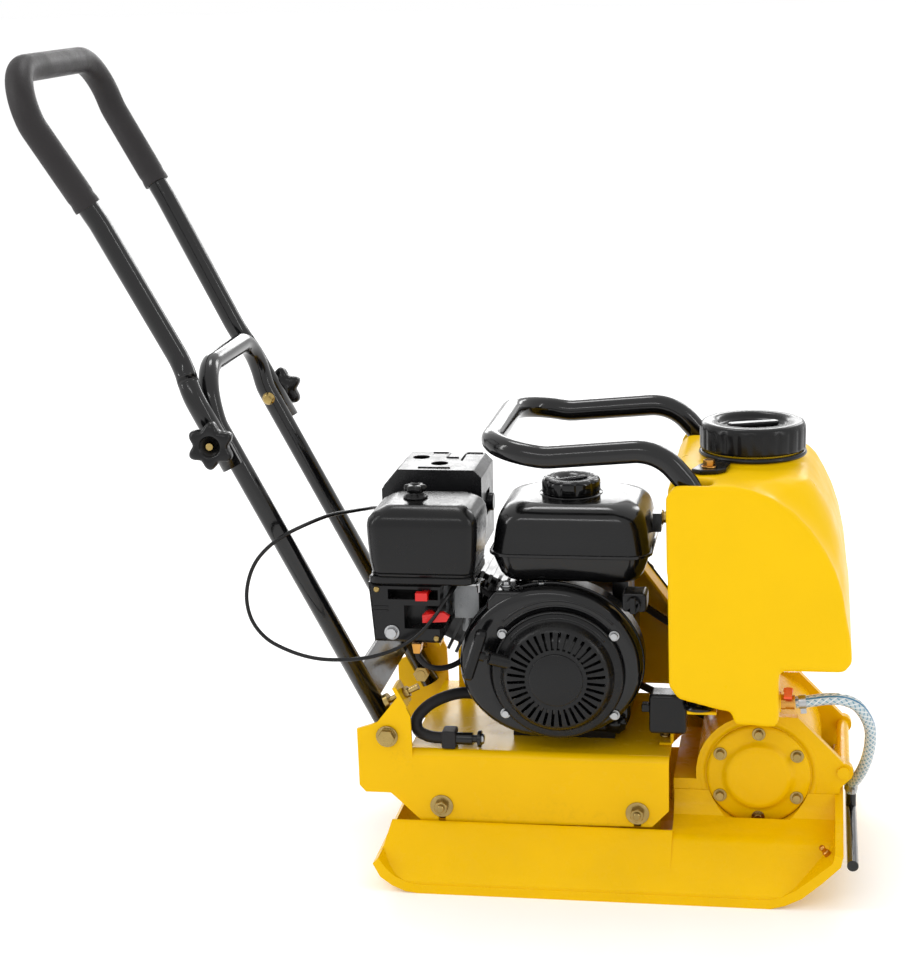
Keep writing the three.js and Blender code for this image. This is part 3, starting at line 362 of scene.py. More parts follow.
def lathe(profile, axis, u=0.0, v=0.0, sides=48, flute=None):
    """Turns a profile of (radius, height) points that is closed or starts and ends on the axis.

    flute(turn, radius, height) gives a factor on the radius, for lobes and flutes.
    """
    a, b, c = basis(axis)
    verts = []
    rows = []
    closed = profile[0] == profile[-1]
    for r, h in (profile[:-1] if closed else profile):
        if r < 1e-6:
            rows.append([len(verts)] * sides)
            verts.append(a * u + b * v + c * h)
            continue
        rows.append(list(range(len(verts), len(verts) + sides)))
        for i in range(sides):
            t = 2 * math.pi * i / sides
            k = r * (flute(t, r, h) if flute else 1.0)
            verts.append(a * (u + k * math.cos(t)) + b * (v + k * math.sin(t)) + c * h)
    faces = []
    pairs = list(zip(rows, rows[1:])) + ([(rows[-1], rows[0])] if closed else [])
    for one, two in pairs:
        for i in range(sides):
            j = (i + 1) % sides
            face = [one[i], one[j], two[j], two[i]]
            clean = [f for k, f in enumerate(face) if f != face[k - 1]]
            if len(clean) > 2:
                faces.append(clean)
    return verts, faces


def fillet(points, bend, steps=8):
    """Straight runs joined by arcs, the route the CAD tubes take."""
    p = [Vector(v) for v in points]
    route = [p[0]]
    for before, corner, after in zip(p, p[1:], p[2:]):
        into = corner - before
        out = after - corner
        room = min(into.length, out.length) * 0.86
        into.normalize()
        out.normalize()
        angle = into.angle(out)
        if angle < 1e-4:
            continue
        reach = min(bend * math.tan(angle / 2), room)
        radius = reach / math.tan(angle / 2)
        side = (out - into * out.dot(into)).normalized()
        start = corner - into * reach
        centre = start + side * radius
        count = max(2, round(steps * angle / (math.pi / 2)))
        for k in range(count + 1):
            t = angle * k / count
            route.append(centre - side * radius * math.cos(t) + into * radius * math.sin(t))
    route.append(p[-1])
    return route


def spline(points, step=5.0):
    """The centripetal curve that the CAD cords follow, sampled every few millimetres."""
    p = [Vector(v) for v in points]
    p = [p[0] * 2 - p[1]] + p + [p[-1] * 2 - p[-2]]
    route = []
    for i in range(1, len(p) - 2):
        knots = [0.0]
        for a, b in ((i - 1, i), (i, i + 1), (i + 1, i + 2)):
            knots.append(knots[-1] + math.sqrt((p[b] - p[a]).length))
        count = max(2, round((p[i + 1] - p[i]).length / step))
        for k in range(count):
            t = knots[1] + (knots[2] - knots[1]) * k / count
            a = [p[i - 1 + j] * ((knots[j + 1] - t) / (knots[j + 1] - knots[j]))
                 + p[i + j] * ((t - knots[j]) / (knots[j + 1] - knots[j])) for j in range(3)]
            b = [a[j] * ((knots[j + 2] - t) / (knots[j + 2] - knots[j]))
                 + a[j + 1] * ((t - knots[j]) / (knots[j + 2] - knots[j])) for j in range(2)]
            route.append(b[0] * ((knots[2] - t) / (knots[2] - knots[1]))
                         + b[1] * ((t - knots[1]) / (knots[2] - knots[1])))
    route.append(p[-2])
    return route


def sweep(route, radius, sides=24):
    """A round section along a route. radius is a number or a function of distance and length."""
    route = [Vector(v) for v in route]
    run = [0.0]
    for a, b in zip(route, route[1:]):
        run.append(run[-1] + (b - a).length)
    tangents = [((route[min(i + 1, len(route) - 1)] - route[max(i - 1, 0)]).normalized())
                for i in range(len(route))]
    side = tangents[0].orthogonal().normalized()
    verts = []
    uvs = []
    for i, (at, along) in enumerate(zip(route, tangents)):
        side = (side - along * side.dot(along)).normalized()
        up = along.cross(side)
        r = radius(run[i], run[-1]) if callable(radius) else radius
        for k in range(sides):
            t = 2 * math.pi * k / sides
            verts.append(at + side * (r * math.cos(t)) + up * (r * math.sin(t)))
            uvs.append((k / sides * 2 * math.pi * r * MM, run[i] * MM))
    faces = [[i * sides + k, i * sides + (k + 1) % sides, (i + 1) * sides + (k + 1) % sides,
              (i + 1) * sides + k] for i in range(len(route) - 1) for k in range(sides)]
    last = (len(route) - 1) * sides
    faces += [list(range(sides))[::-1], list(range(last, last + sides))]
    return verts, faces, uvs


def tube(name, route, radius, sides, body, mat, **options):
    """A swept piece: options are those of piece()."""
    verts, faces, _ = sweep(route, radius, sides)
    return piece(name, verts, faces, body, mat, **options)


def round_rect(x0, x1, y0, y1, r, n=8):
    """A rectangle's outline with corners of radius r, each in n steps."""
    points = []
    for cx, cy, start in ((x1 - r, y0 + r, -90), (x1 - r, y1 - r, 0), (x0 + r, y1 - r, 90),
                          (x0 + r, y0 + r, 180)):
        for k in range(n + 1):
            t = math.radians(start + 90 * k / n)
            points.append((cx + r * math.cos(t), cy + r * math.sin(t)))
    return points


def loft(levels, n=8):
    """Rounded rectangles (z, x0, x1, y0, y1, corner radius) skinned from bottom to top."""
    return skin([[Vector((x, y, z)) for x, y in round_rect(x0, x1, y0, y1, r, n)]
                 for z, x0, x1, y0, y1, r in levels])


def skin(rings):
    """Rings of as many points each, joined in turn and closed at both ends."""
    count = len(rings[0])
    verts = [v for ring in rings for v in ring]
    faces = [[k * count + i, k * count + (i + 1) % count, (k + 1) * count + (i + 1) % count,
              (k + 1) * count + i] for k in range(len(rings) - 1) for i in range(count)]
    faces += [list(range(count))[::-1], list(range(len(verts) - count, len(verts)))]
    return verts, faces


def joined(*parts):
    """Several (verts, faces) parts as one."""
    verts, faces = [], []
    for v, f in parts:
        faces += [[i + len(verts) for i in face] for face in f]
        verts += list(v)
    return verts, faces


def moved(part, matrix):
    """A part put through a matrix."""
    return [matrix @ Vector(v) for v in part[0]], part[1]


def baked(obj):
    """Applies the object's modifiers, so what is left is plain mesh."""
    graph = bpy.context.evaluated_depsgraph_get()
    mesh = bpy.data.meshes.new_from_object(obj.evaluated_get(graph))
    obj.modifiers.clear()
    obj.data = mesh
    return obj


def loose(name, part):
    """An object on no body yet, to be cut or joined."""
    mesh = bpy.data.meshes.new(name)
    mesh.from_pydata([Vector(v) * MM for v in part[0]], [], part[1])
    work = bmesh.new()
    work.from_mesh(mesh)
    bmesh.ops.remove_doubles(work, verts=work.verts, dist=1e-7)
    bmesh.ops.recalc_face_normals(work, faces=work.faces)
    work.to_mesh(mesh)
    work.free()
    obj = bpy.data.objects.new(name, mesh)
    bpy.context.scene.collection.objects.link(obj)
    return obj


def boolean(obj, part, operation="DIFFERENCE"):
    """Cuts the part from, or adds it to, an unplaced object."""
    tool = loose("tool", part)
    mod = obj.modifiers.new("cut", "BOOLEAN")
    mod.operation = operation
    mod.solver = "EXACT"
    mod.use_self = True
    mod.object = tool
    baked(obj)
    bpy.data.objects.remove(tool)
    return obj


def copy_of(node, name):
    """A welded copy of a CAD node, to be cut into."""
    obj = bpy.data.objects.new(name, NODES[node].data.copy())
    bpy.context.scene.collection.objects.link(obj)
    if "custom_normal" in obj.data.attributes:
        obj.data.attributes.remove(obj.data.attributes["custom_normal"])
    work = bmesh.new()
    work.from_mesh(obj.data)
    bmesh.ops.remove_doubles(work, verts=work.verts, dist=1e-5)
    bmesh.ops.dissolve_limit(work, angle_limit=math.radians(0.4), verts=work.verts,
                             edges=work.edges)
    work.to_mesh(obj.data)
    work.free()
    return obj


def leaned(part, up=0.0):
    """From a handle's own frame (z up its tubes) to the machine's."""
    matrix = (Matrix.Translation((PIVOT[0], 0, PIVOT[1])) @ Matrix.Rotation(-LEAN, 4, "Y")
              @ Matrix.Translation((0, 0, up)))
    return moved(part, matrix)


def leaned_route(points, up=0.0):
    """The same for a list of points."""
    return leaned((points, None), up)[0]


def bolt(name, axis, u, v, start, out, flats, body, mat=ZINC, washer=None, turn=0.2):
    """A hexagon head with its chamfer, and a washer of that radius under it."""
    s = 1.0 if out > 0 else -1.0
    r = flats / math.sqrt(3)
    base = start + s * (1.8 if washer else 0.0)
    top = base + s * abs(out)

    def chamfer(t, radius, _):
        if radius < r * 0.98:
            return 1.0
        k = (t - turn) % (math.pi / 3) - math.pi / 6
        return math.cos(math.pi / 6) / math.cos(k) if radius <= r + 1e-6 else 1.0
    head = lathe([(0, base), (r, base), (r, top - s * 1.2), (r * 0.84, top), (0, top)], axis, u, v,
                 36, chamfer)
    parts = [head]
    if washer:
        parts.append(lathe([(0, start), (washer, start), (washer + 0.3, start + s * 0.5),
                            (washer, start + s * 1.8), (0, start + s * 1.8)], axis, u, v, 32))
    return piece(name, *joined(*parts), body, mat, bevel=0.35, segments=2)


# ---------- base plate and exciter ----------
def base_and_exciter():
    keep("base_plate", YELLOW_CAST, 2.4, 3, 24)
    keep("exciter_housing", YELLOW_CAST, 2.0, 3)
    keep("exciter_cover_far", YELLOW_CAST, 1.2)
    x, z = EXCITER
    profile = [(0, -108.3), (34, -108.3), (38.5, -107.4), (41.4, -105), (44, -100.4), (48, -99.4),
               (60, -99), (63.6, -98), (65, -95.8), (65, -94.3), (0, -94.3)]
    piece("exciter_cover", *lathe(profile, "y", x, z, 96), "base", YELLOW_CAST,
          replaces="exciter_cover_near", angle=40)
    bolt_circle = 55
    for i in range(6):
        a = math.radians(90 + 60 * i)
        bolt(f"cover_bolt_{i}", "y", x + bolt_circle * math.cos(a), z + bolt_circle * math.sin(a),
             -99.0, -5.2, 10, "base", washer=8.2, turn=0.3 * i)
    ring = [(66.5, -94.2), (74, -94.2), (76, -93.2), (77.6, -91.0), (66, -91.0), (66.5, -94.2)]
    piece("exciter_flange", *lathe(ring, "y", x, z, 96), "base", YELLOW_CAST)
    for side in ("near", "far"):
        keep(f"exciter_bearing_{side}", STEEL, 1.0)
    keep("eccentric_shaft", STEEL, 0.8)
    keep("driven_pulley", STEEL, 0.6)
    nipple = lathe([(0, 30), (4.6, 30), (4.6, 37), (3.2, 38), (3.2, 42), (4.0, 43.5), (3.0, 46),
                    (2.0, 46.6), (0, 46.6)], "z", 0, 0, 20)
    lean = Matrix.Translation((274, -176, 54)) @ Matrix.Rotation(math.radians(-38), 4, "Y")
    lean = lean @ Matrix.Rotation(math.radians(12), 4, "X") @ Matrix.Translation((0, 0, -26))
    piece("grease_nipple", *moved(nipple, lean), "base", BRASS, bevel=0.3)


def rubber_mounts():
    for name, x in MOUNT_X.items():
        for side, s in (("near", -1), ("far", 1)):
            profile = [(0, s * 104.3), (17, s * 104.3), (19.6, s * 106), (19.0, s * 112),
                       (16.8, s * 120.5), (19.0, s * 129), (19.6, s * 135), (17, s * 136.7),
                       (0, s * 136.7)]
            piece(f"buffer_{name}_{side}", *lathe(profile, "y", x, MOUNT_Z, 40), "base", RUBBER,
                  replaces=f"rubber_mount_{name}_{side}")
            bolt(f"mount_nut_{name}_{side}", "y", x, MOUNT_Z, s * 142.3, s * 8.0, 16, "base",
                 washer=14.6, turn=0.4)
            stud = lathe([(0, s * 150), (4.9, s * 150), (4.9, s * 155), (4.0, s * 156),
                          (0, s * 156)], "y", x, MOUNT_Z, 20)
            piece(f"mount_stud_{name}_{side}", *stud, "base", ZINC, bevel=0.2)


# ---------- deck ----------
def deck():
    keep("engine_deck", YELLOW, 1.4, 3)
    keep("tank_bracket", YELLOW, 0.8)
    keep("belt_guard", YELLOW, 1.6, 3)
    feet = {-1: 228.8, 1: 250.8}

    def leg(side):
        return [(x, side * ROLL_BAR_Y, z) for x, z in (
            (ROLL_BAR_X, feet[side]), (108, 500), (62, 552), (-75, 541), (-146, 552))]
    tube("roll_bar_fine", fillet(leg(-1) + leg(1)[::-1], 60, 14), ROLL_BAR_R, 36, "base", TUBE,
         replaces="roll_bar")
    for i, side in enumerate((-1, 1)):
        low = feet[side] - 0.2
        foot = lathe([(14.2, low), (19, low), (18.4, low + 2.2), (15.4, low + 4.4),
                      (14.2, low + 5.4), (14.2, low)], "z", ROLL_BAR_X, side * ROLL_BAR_Y, 48)
        piece(f"roll_bar_weld_{i}", *foot, "base", TUBE)
    for side in ("near", "far"):
        keep(f"stop_bolt_{side}", ZINC, 0.5)
        keep(f"pivot_bolt_{side}", ZINC, 0.7)
    edge = [(-150, 330), (-112, 368), (0, 368), (54, 296), (92, 245)]
    tube("guard_edge_trim", fillet([(x, 147.2, z + 0.4) for x, z in edge], 8, 5), 1.9, 12, "base",
         RUBBER)
    for i, (x, z) in enumerate([(-136, 176), (-136, 318), (28, 322), (140, 214), (232, 150),
                                (160, 82)]):
        bolt(f"guard_bolt_{i}", "y", x, z, 148.2, 4.0, 10, "base", washer=8.0, turn=0.5 * i)
    for i, (x, y) in enumerate([(-116, -58), (-116, 58), (-12, -58), (-12, 58)]):
        bolt(f"engine_bolt_{i}", "z", x, y, 173.2, 5.5, 13, "base", washer=10.0, turn=0.4 * i)
    for i, y in enumerate((-70, 70)):
        bolt(f"bracket_bolt_{i}", "z", 67, y, 165.7, 5.0, 10, "base", washer=8.0)
    keep("drive_belt", RUBBER, 0.8)
    keep("clutch_pulley", STEEL, 0.6)
    keep("crankshaft", STEEL, 0.6)


# ---------- engine ----------
# The fan housing's outline: degrees round the crankshaft, and radius.
VOLUTE = [(-90, 80), (-50, 90), (0, 106), (90, 109), (150, 125), (180, 128), (225, 103),
          (270, 80)]


def volute(turn):
    """The fan housing's radius at an angle, on a straight line between its set places."""
    deg = (math.degrees(turn) + 90) % 360 - 90
    for (d0, r0), (d1, r1) in zip(VOLUTE, VOLUTE[1:]):
        if deg <= d1:
            return r0 + (deg - d0) / (d1 - d0) * (r1 - r0)
    return VOLUTE[-1][1]


def eased(turn):
    """The same radius with its corners rounded off."""
    return sum(volute(turn + math.radians(k)) for k in range(-20, 21, 4)) / 11 - 0.8


def fan_housing():
    x, z = CRANK
    eye, shoulder, mouth = 72, 84, 74.5

    def grow(t, r, _):
        """The outer wall and the bore follow the volute, and the eye between them stays round."""
        if r > shoulder:
            return max(eased(t) - (100 - r), mouth) / r
        return (eased(t) - 6) / r if r < eye else 1.0
    shell = [(100, -83), (100, -129), (99, -134), (96.6, -138.4), (93, -141), (89, -142),
             (72, -142), (72, -137), (70, -137), (70, -83), (100, -83)]
    piece("fan_housing_fine", *lathe(shell, "y", x, z, 160, grow), "base", BLACK,
          replaces="fan_housing")
    block = prism([(-150, 300), (-150, 358), (-140, 371), (-62, 371), (-62, 300)], "y", -138, -88)
    piece("housing_shoulder", *block, "base", BLACK, bevel=5.0, segments=4)
    for i, u in enumerate((-128, -84)):
        bolt(f"shoulder_bolt_{i}", "z", u, -114, 371.2, 4.5, 10, "base", STEEL, washer=7.4)

    def follow(t, r, _):
        return (eased(t) - (100 - r)) / r
    step = [(98.6, -112), (101.6, -113), (101.6, -116), (98.6, -117), (98.6, -112)]
    piece("fan_housing_seam", *lathe(step, "y", x, z, 160, follow), "base", BLACK)


def recoil_cover():
    x, z = CRANK
    dome = [(0, -164.8), (38, -164.8), (57, -164.2), (63.4, -162), (67, -157.6), (69.4, -151.6),
            (71, -149.4), (74.4, -148.4), (78, -147.8), (80.6, -146.4), (82, -144.2),
            (82, -142.4), (66, -142.4), (64, -150), (61, -160.6), (0, -160.6)]
    obj = loose("recoil_cover_fine", lathe(dome, "y", x, z, 144))
    slots = []
    slot_count = 36
    for i in range(slot_count):
        a = 2 * math.pi * (i + 0.5) / slot_count
        radial = Matrix.Translation((x, 0, z)) @ Matrix.Rotation(a, 4, "Y")
        slots.append(moved(box(38.5, 61, -172, -157, -1.9, 1.9), radial))
    boolean(obj, joined(*slots))
    dress(obj, TEXTURED, 0.45, 2, 34)
    place(obj, "base", "recoil_cover")
    hub = lathe([(0, -166.6), (31.6, -166.6), (33, -166.2), (33.6, -164.6), (0, -164.6)], "y", x,
                z, 96)
    piece("recoil_disc", *hub, "base", PLASTIC)
    reel = lathe([(10, -158), (34, -158), (58, -157.2), (58, -150), (10, -150), (10, -158)], "y",
                 x, z, 64)
    piece("recoil_reel", *reel, "base", BLACK)
    for i, r in enumerate((74, 81, 88, 95)):
        span = math.radians(52 - 2 * i)
        y = -141.4 if r > 84 else -147.6
        turns = [math.pi / 2 - span + 2 * span * k / 28 for k in range(29)]
        arc = [(x + r * math.cos(t), y, z + r * math.sin(t)) for t in turns]
        tube(f"housing_arc_rib_{i}", arc, 1.5, 10, "base", BLACK)
    tube("rope_nozzle", [ROPE_EXIT + ROPE_DIR * d for d in (-16, -6, 4, 9, 12)],
         lambda s, _: 8.0 if s < 20 else 6.6 + 0.05 * s, 28, "base", PLASTIC, bevel=0.6)
    for i, (u, w) in enumerate([(-68, 51), (70, 52), (70, -50), (-66, -52)]):
        bolt(f"recoil_bolt_{i}", "y", x + u, z + w, -142.6, -4.4, 9, "base", STEEL, washer=6.4,
             turn=0.3 * i)


def starter():
    keep("starter_grip", PLASTIC, 2.4, 3, 26)
    steps = 40
    route = [ROPE_EXIT + ROPE_DIR * (4 + 17.0 * i / steps) for i in range(steps + 1)]
    obj = tube("starter_rope", route, 2.3, 16, None, ROPE)
    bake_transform(obj)


def engine():
    keep("crankcase", BLACK, 1.4)
    keep("cylinder_head", ALLOY, 1.2)
    keep("flywheel_fan", ALLOY, 0.8)
    keep("carburettor", ALLOY, 1.0)
    keep("oil_alert_unit", PLASTIC, 1.6, 3)
    keep("engine_switch", PLASTIC, 1.2)
    keep("switch_lever", PLASTIC, 0.8)
    keep("choke_lever", RED, 1.2)
    keep("fuel_cock_lever", RED, 1.4)
    keep("throttle_lever", STEEL, 0.5)
    keep("throttle_hand_lever", PLASTIC, 1.0)
    keep("air_filter_element", RUBBER, 2.0)
    filler = lathe([(0, -96), (7, -96), (7, -90), (13, -89), (14.5, -86), (14.5, -81), (0, -81)],
                   "y", 4, 186, 40, lambda t, r, _: 1 + (0.05 * math.cos(10 * t) if r > 12 else 0))
    piece("oil_filler_cap", *filler, "base", PLASTIC)
    plug_lead = spline([(-232, -12, 372), (-214, -40, 380), (-190, -74, 374), (-160, -78, 352),
                        (-130, -79, 330)], 4)
    tube("spark_plug_lead", plug_lead, 3.4, 14, "base", RUBBER)


def fuel_tank():
    x0, x1, y0, y1 = -146, 50, -128, 46

    def level(z, inset, r):
        return z, x0 + inset, x1 - inset, y0 + inset, y1 - inset, r
    low = loft([level(377, 22, 18), level(378, 18, 20), level(381, 13.6, 22), level(387, 9.5, 23),
                level(396, 6, 24), level(405, 3, 24), level(411, 1, 25), level(412.4, 0, 26)])
    top = loft([level(415.8, 0, 26), level(418, 1, 26), level(432, 2.6, 27),
                level(446, 4.6, 28), level(455, 6.8, 29), level(461, 9.4, 30), level(466, 13.4, 32),
                level(469.8, 18.6, 32), level(472.4, 25.6, 30), level(473.8, 34, 26)])
    flange = loft([level(412, -2.2, 27), level(412.6, -3, 28), level(415.6, -3, 28),
                   level(416.2, -2.2, 27)])
    neck = lathe([(0, 466), (24, 466), (24, 481), (0, 481)], "z", *FUEL_NECK, 64)
    ear = box(48, 59, -40, -12, 424, 448)
    feet = [box(-124, -104, -60, 20, 364, 384), box(0, 20, -70, 20, 329.3, 384)]
    obj = loose("fuel_tank_fine", low)
    for extra in (flange, top, neck, ear, *feet):
        boolean(obj, extra, "UNION")
    boolean(obj, lathe([(0, 440), (20, 440), (20, 500), (0, 500)], "z", *FUEL_NECK, 64))
    dress(obj, BLACK, 0.8, 2, 44)
    place(obj, "base", "fuel_tank")
    x, y = FUEL_NECK

    def flute(t, r, h):
        return 1 - (0.05 * max(0.0, math.cos(10 * t)) ** 2 if r > 35 and h > 476 else 0)
    cap = [(0, 488.5), (16, 488.5), (19, 490.5), (23, 493.6), (32, 494.0), (35.6, 492.4),
           (37, 489), (37, 476.2), (35.6, 475), (24.8, 475), (24.8, 486), (0, 486)]
    piece("fuel_cap_fine", *lathe(cap, "z", x, y, 120, flute), "fuel_cap_body", BLACK,
          replaces="fuel_cap")
    bar = prism([(-20, -4.2), (20, -4.2), (22, 0), (20, 4.2), (-20, 4.2), (-22, 0)], "z", 487.5,
                493.2)
    turn = Matrix.Translation((x, y, 0)) @ Matrix.Rotation(0.6, 4, "Z")
    piece("fuel_cap_bar", *moved(bar, turn), "fuel_cap_body", BLACK, bevel=1.2)
    ring = lathe([(27, 474.4), (40, 474.4), (41, 472.4), (27, 472.4), (27, 474.4)], "z", x, y, 72)
    piece("fuel_neck_ring", *ring, "base", BLACK)
    bolt("tank_ear_bolt", "x", -26, 440, 59.3, 6.0, 13, "base", washer=9.5)


def air_cleaner():
    cover = loft([(389, -290, -167, -144, -42, 12), (396, -293, -164, -146.5, -39.5, 15),
                  (410, -295.5, -162, -148.5, -37.5, 17), (435, -297.4, -160.4, -149.6, -36.4, 18),
                  (452, -298, -160, -150, -36, 18), (460, -296.4, -160.8, -149, -37, 18),
                  (467, -290, -164.4, -145.6, -40.4, 17), (472, -282, -170, -140, -46, 15),
                  (475.4, -275, -176, -134, -52, 12), (477, -268, -182, -128, -58, 9)])
    inner = loft([(380, -287, -170, -141, -45, 10), (440, -293, -165, -145, -41, 14),
                  (468, -272, -182, -130, -56, 10)])
    obj = loose("air_cleaner_cover_fine", cover)
    boolean(obj, inner)
    boolean(obj, lathe([(0, 450), (4.4, 450), (4.4, 500), (0, 500)], "z", *CLEANER_STUD, 32))
    dress(obj, PLASTIC, 0.6, 2, 44)
    place(obj, "cleaner_cover", "air_cleaner_cover")
    lip = loft([(389.2, -292, -165, -146, -40, 14), (392.4, -293.4, -163.6, -147.4, -38.6, 15)])
    lip_obj = loose("air_cleaner_lip", lip)
    boolean(lip_obj, inner)
    dress(lip_obj, PLASTIC, 0.5, 2, 44)
    place(lip_obj, "cleaner_cover")
    keep("air_cleaner_base", PLASTIC, 1.2, 2, 28)
    z = 477.3

    def lobes(t, r, h):
        return 1 + (0.16 * math.cos(6 * t) if r > 10.2 and h > z + 6 else 0)
    knob = [(4.5, z), (15, z), (15.6, z + 1.2), (14, z + 2.6), (9.4, z + 5.6), (9.0, z + 7.6),
            (10.6, z + 8.2), (12.4, z + 9.6), (12.4, z + 14.4), (11.0, z + 16.2), (7.6, z + 17),
            (6.4, z + 16.2), (4.5, z + 16.2), (4.5, z)]
    piece("air_cleaner_knob_fine", *lathe(knob, "z", *CLEANER_STUD, 72, lobes), "cleaner_knob",
          PLASTIC, replaces="air_cleaner_knob")
    bolt("panel_bolt", "y", -268, 317, -144.2, -6.0, 13, "base", STEEL, washer=9.4)
    for i, (u, w) in enumerate([(-286, 372), (-212, 310)]):
        screw = lathe([(0, -146.8), (2.2, -146.8), (3.6, -145.8), (4.0, -144.2), (0, -144.2)], "y",
                      u, w, 24)
        piece(f"panel_screw_{i}", *screw, "base", ZINC)
    for i in (2, 3):
        low = 334 + i * 5
        rib = prism([(-290, low), (-272, low), (-272, low + 1.8), (-290, low + 1.8)], "y", -145.2,
                    -143.5)
        piece(f"panel_rib_{i}", *rib, "base", PLASTIC, bevel=0.4)
    block = prism([(-242, 289), (-234, 289), (-232, 302), (-244, 302)], "y", -143, -124)
    piece("fuel_joint", *block, "base", BRASS, bevel=0.8)
    line = [(-238, -133, 291), (-238, -132, 282), (-226, -128, 268), (-206, -112, 262),
            (-186, -92, 270), (-183, -78, 296)]
    tube("fuel_line", spline(line, 4), 3.6, 16, "base", RUBBER)


def muffler():
    keep("muffler", CHARCOAL, 1.6, 3)
    obj = copy_of("muffler_guard", "muffler_guard_fine")
    cuts = [box(-310, -290, -2 + 14 * i, 6 + 14 * i, 404, 456) for i in range(6)]
    cuts += [box(-290 + 15 * i, -281 + 15 * i, -20, -5, 410, 458) for i in range(7)]
    cuts += [box(-290 + 15 * i, -281 + 15 * i, 82, 96, 410, 458) for i in range(7)]
    boolean(obj, joined(*cuts))
    dress(obj, CHARCOAL, 0.7, 2, 30)
    place(obj, "base", "muffler_guard")
    for i in range(5):
        u, z = -299.6 + 3.6 * i, 470.2 + 4.2 * i
        tube(f"guard_rib_{i}", [(u, -8, z), (u, 84, z)], 1.3, 10, "base", CHARCOAL)
    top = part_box("muffler_guard")[1][2] / MM
    lines = [[(-250, 84), (-228, 84), (-228, 56), (-212, 56)], [(-206, 44), (-206, 84), (-184, 84)],
             [(-256, -2), (-214, -2)]]
    for i, line in enumerate(lines):
        tube(f"guard_bead_{i}", fillet([(u, w, top) for u, w in line], 4, 5), 1.5, 12, "base",
             CHARCOAL)
    for i, (u, w) in enumerate([(-262, 58), (-232, 24)]):
        bolt(f"muffler_bolt_{i}", "z", u, w, 476.0, 5.0, 10, "base", STEEL, washer=8.0)
        post = lathe([(0, 466), (6, 466), (6, 476), (0, 476)], "z", u, w, 24)
        piece(f"muffler_post_{i}", *post, "base", SHEET)


# ---------- water tank ----------
def water_tank():
    foot = [(76, 262), (88, 246), (140, 233), (208, 233), (210, 285), (286, 285), (296, 297),
            (294, 325)]
    cheek = [(289, 350), (284, 382), (275, 411), (262, 437), (245, 462), (224, 484), (200, 500),
             (176, 510), (152, 515)]
    core = [(290, 361), (286, 398), (279, 432), (270, 460), (260, 481), (250, 499), (238, 511),
            (212, 515), (165, 515)]
    back = [(84, 515), (72, 500)]

    def section(y, share):
        """The side view at a distance from the middle: 0 is the cheek, 1 the core."""
        front = [(a[0] + (b[0] - a[0]) * share, a[1] + (b[1] - a[1]) * share)
                 for a, b in zip(cheek, core)]
        return [Vector((x, y, z)) for x, z in foot + front + back]
    out_to_in = [(TANK_HALF, 0.0), (151, 0.0), (138, 0.22), (122, 0.62), (106, 0.9), (92, 1.0)]
    rings = [section(-y, share) for y, share in out_to_in]
    rings += [section(y, share) for y, share in out_to_in[::-1]]
    obj = loose("water_tank_fine", skin(rings))
    sump = prism([(148, 248), (156, 215), (205, 214), (210, 222), (210, 248)], "y", -TANK_HALF, -100)
    boolean(obj, sump, "UNION")
    boolean(obj, box(60, 127, 123.5, 154.5, 200, 560))
    boolean(obj, box(60, 127, -154.5, -123.5, 200, 560))
    boolean(obj, box(60, 176, 78, 180, 200, 300))
    boolean(obj, lathe([(0, 500), (66, 500), (63, 516), (60.4, 524), (60, 541), (0, 541)], "z",
                       *TANK_NECK, 96), "UNION")
    boolean(obj, lathe([(0, 440), (54, 440), (54, 560), (0, 560)], "z", *TANK_NECK, 96))
    # An even mesh, then smoothing, rounds every edge as a blow-moulded tank's are.
    grid = obj.modifiers.new("grid", "REMESH")
    grid.mode = "VOXEL"
    grid.voxel_size = 3.2 * MM
    soft = obj.modifiers.new("soft", "SMOOTH")
    soft.factor = 0.5
    soft.iterations = 16
    baked(obj)
    dress(obj, TANK)
    place(obj, "base", "water_tank")

    def flute(t, r, h):
        return 1 - (0.018 * max(0.0, math.cos(24 * t)) if r > 63 and 529 < h < 556 else 0)
    cap = [(0, 553.2), (38, 553.2), (41, 554), (43.4, 557), (45, 560.4), (60, 561), (63.4, 559.4),
           (65, 556), (66, 552), (66, 530), (65.4, 527.2), (61.2, 527.2), (61.2, 543), (0, 543)]
    piece("water_cap_fine", *lathe(cap, "z", *TANK_NECK, 192, flute), "water_cap_body", PLASTIC,
          replaces="water_tank_cap")
    lug = prism([(-30, -7), (30, -7), (34, 0), (30, 7), (-30, 7), (-34, 0)], "z", 552.5, 558.6)
    turn = Matrix.Translation((*TANK_NECK, 0)) @ Matrix.Rotation(0.35, 4, "Z")
    piece("water_cap_bar", *moved(lug, turn), "water_cap_body", PLASTIC, bevel=2.0, segments=3)
    collar = lathe([(60.4, 519), (66, 519), (67.4, 521), (66, 524.5), (60.6, 524.5), (60.4, 519)],
                   "z", *TANK_NECK, 96)
    piece("cap_tether_ring", *collar, "base", PLASTIC)
    tab = prism([(100, -104), (112, -112), (132, -108), (142, -96), (146, -66), (126, -50),
                 (108, -78)], "z", 516, 521.5)
    piece("cap_tether", *tab, "base", PLASTIC, bevel=1.4, segments=3)
    bolt("tether_nut", "z", 121, -93, 521.6, 7.5, 13, "base", BRASS, washer=9.0)
    keep("water_valve", BRASS, 0.7)
    keep("water_valve_lever", ORANGE, 0.8)
    boss = lathe([(0, 209), (13, 209), (12.2, 211.4), (0, 211.4)], "x", *VALVE, 36)
    piece("valve_boss", *boss, "base", TANK)


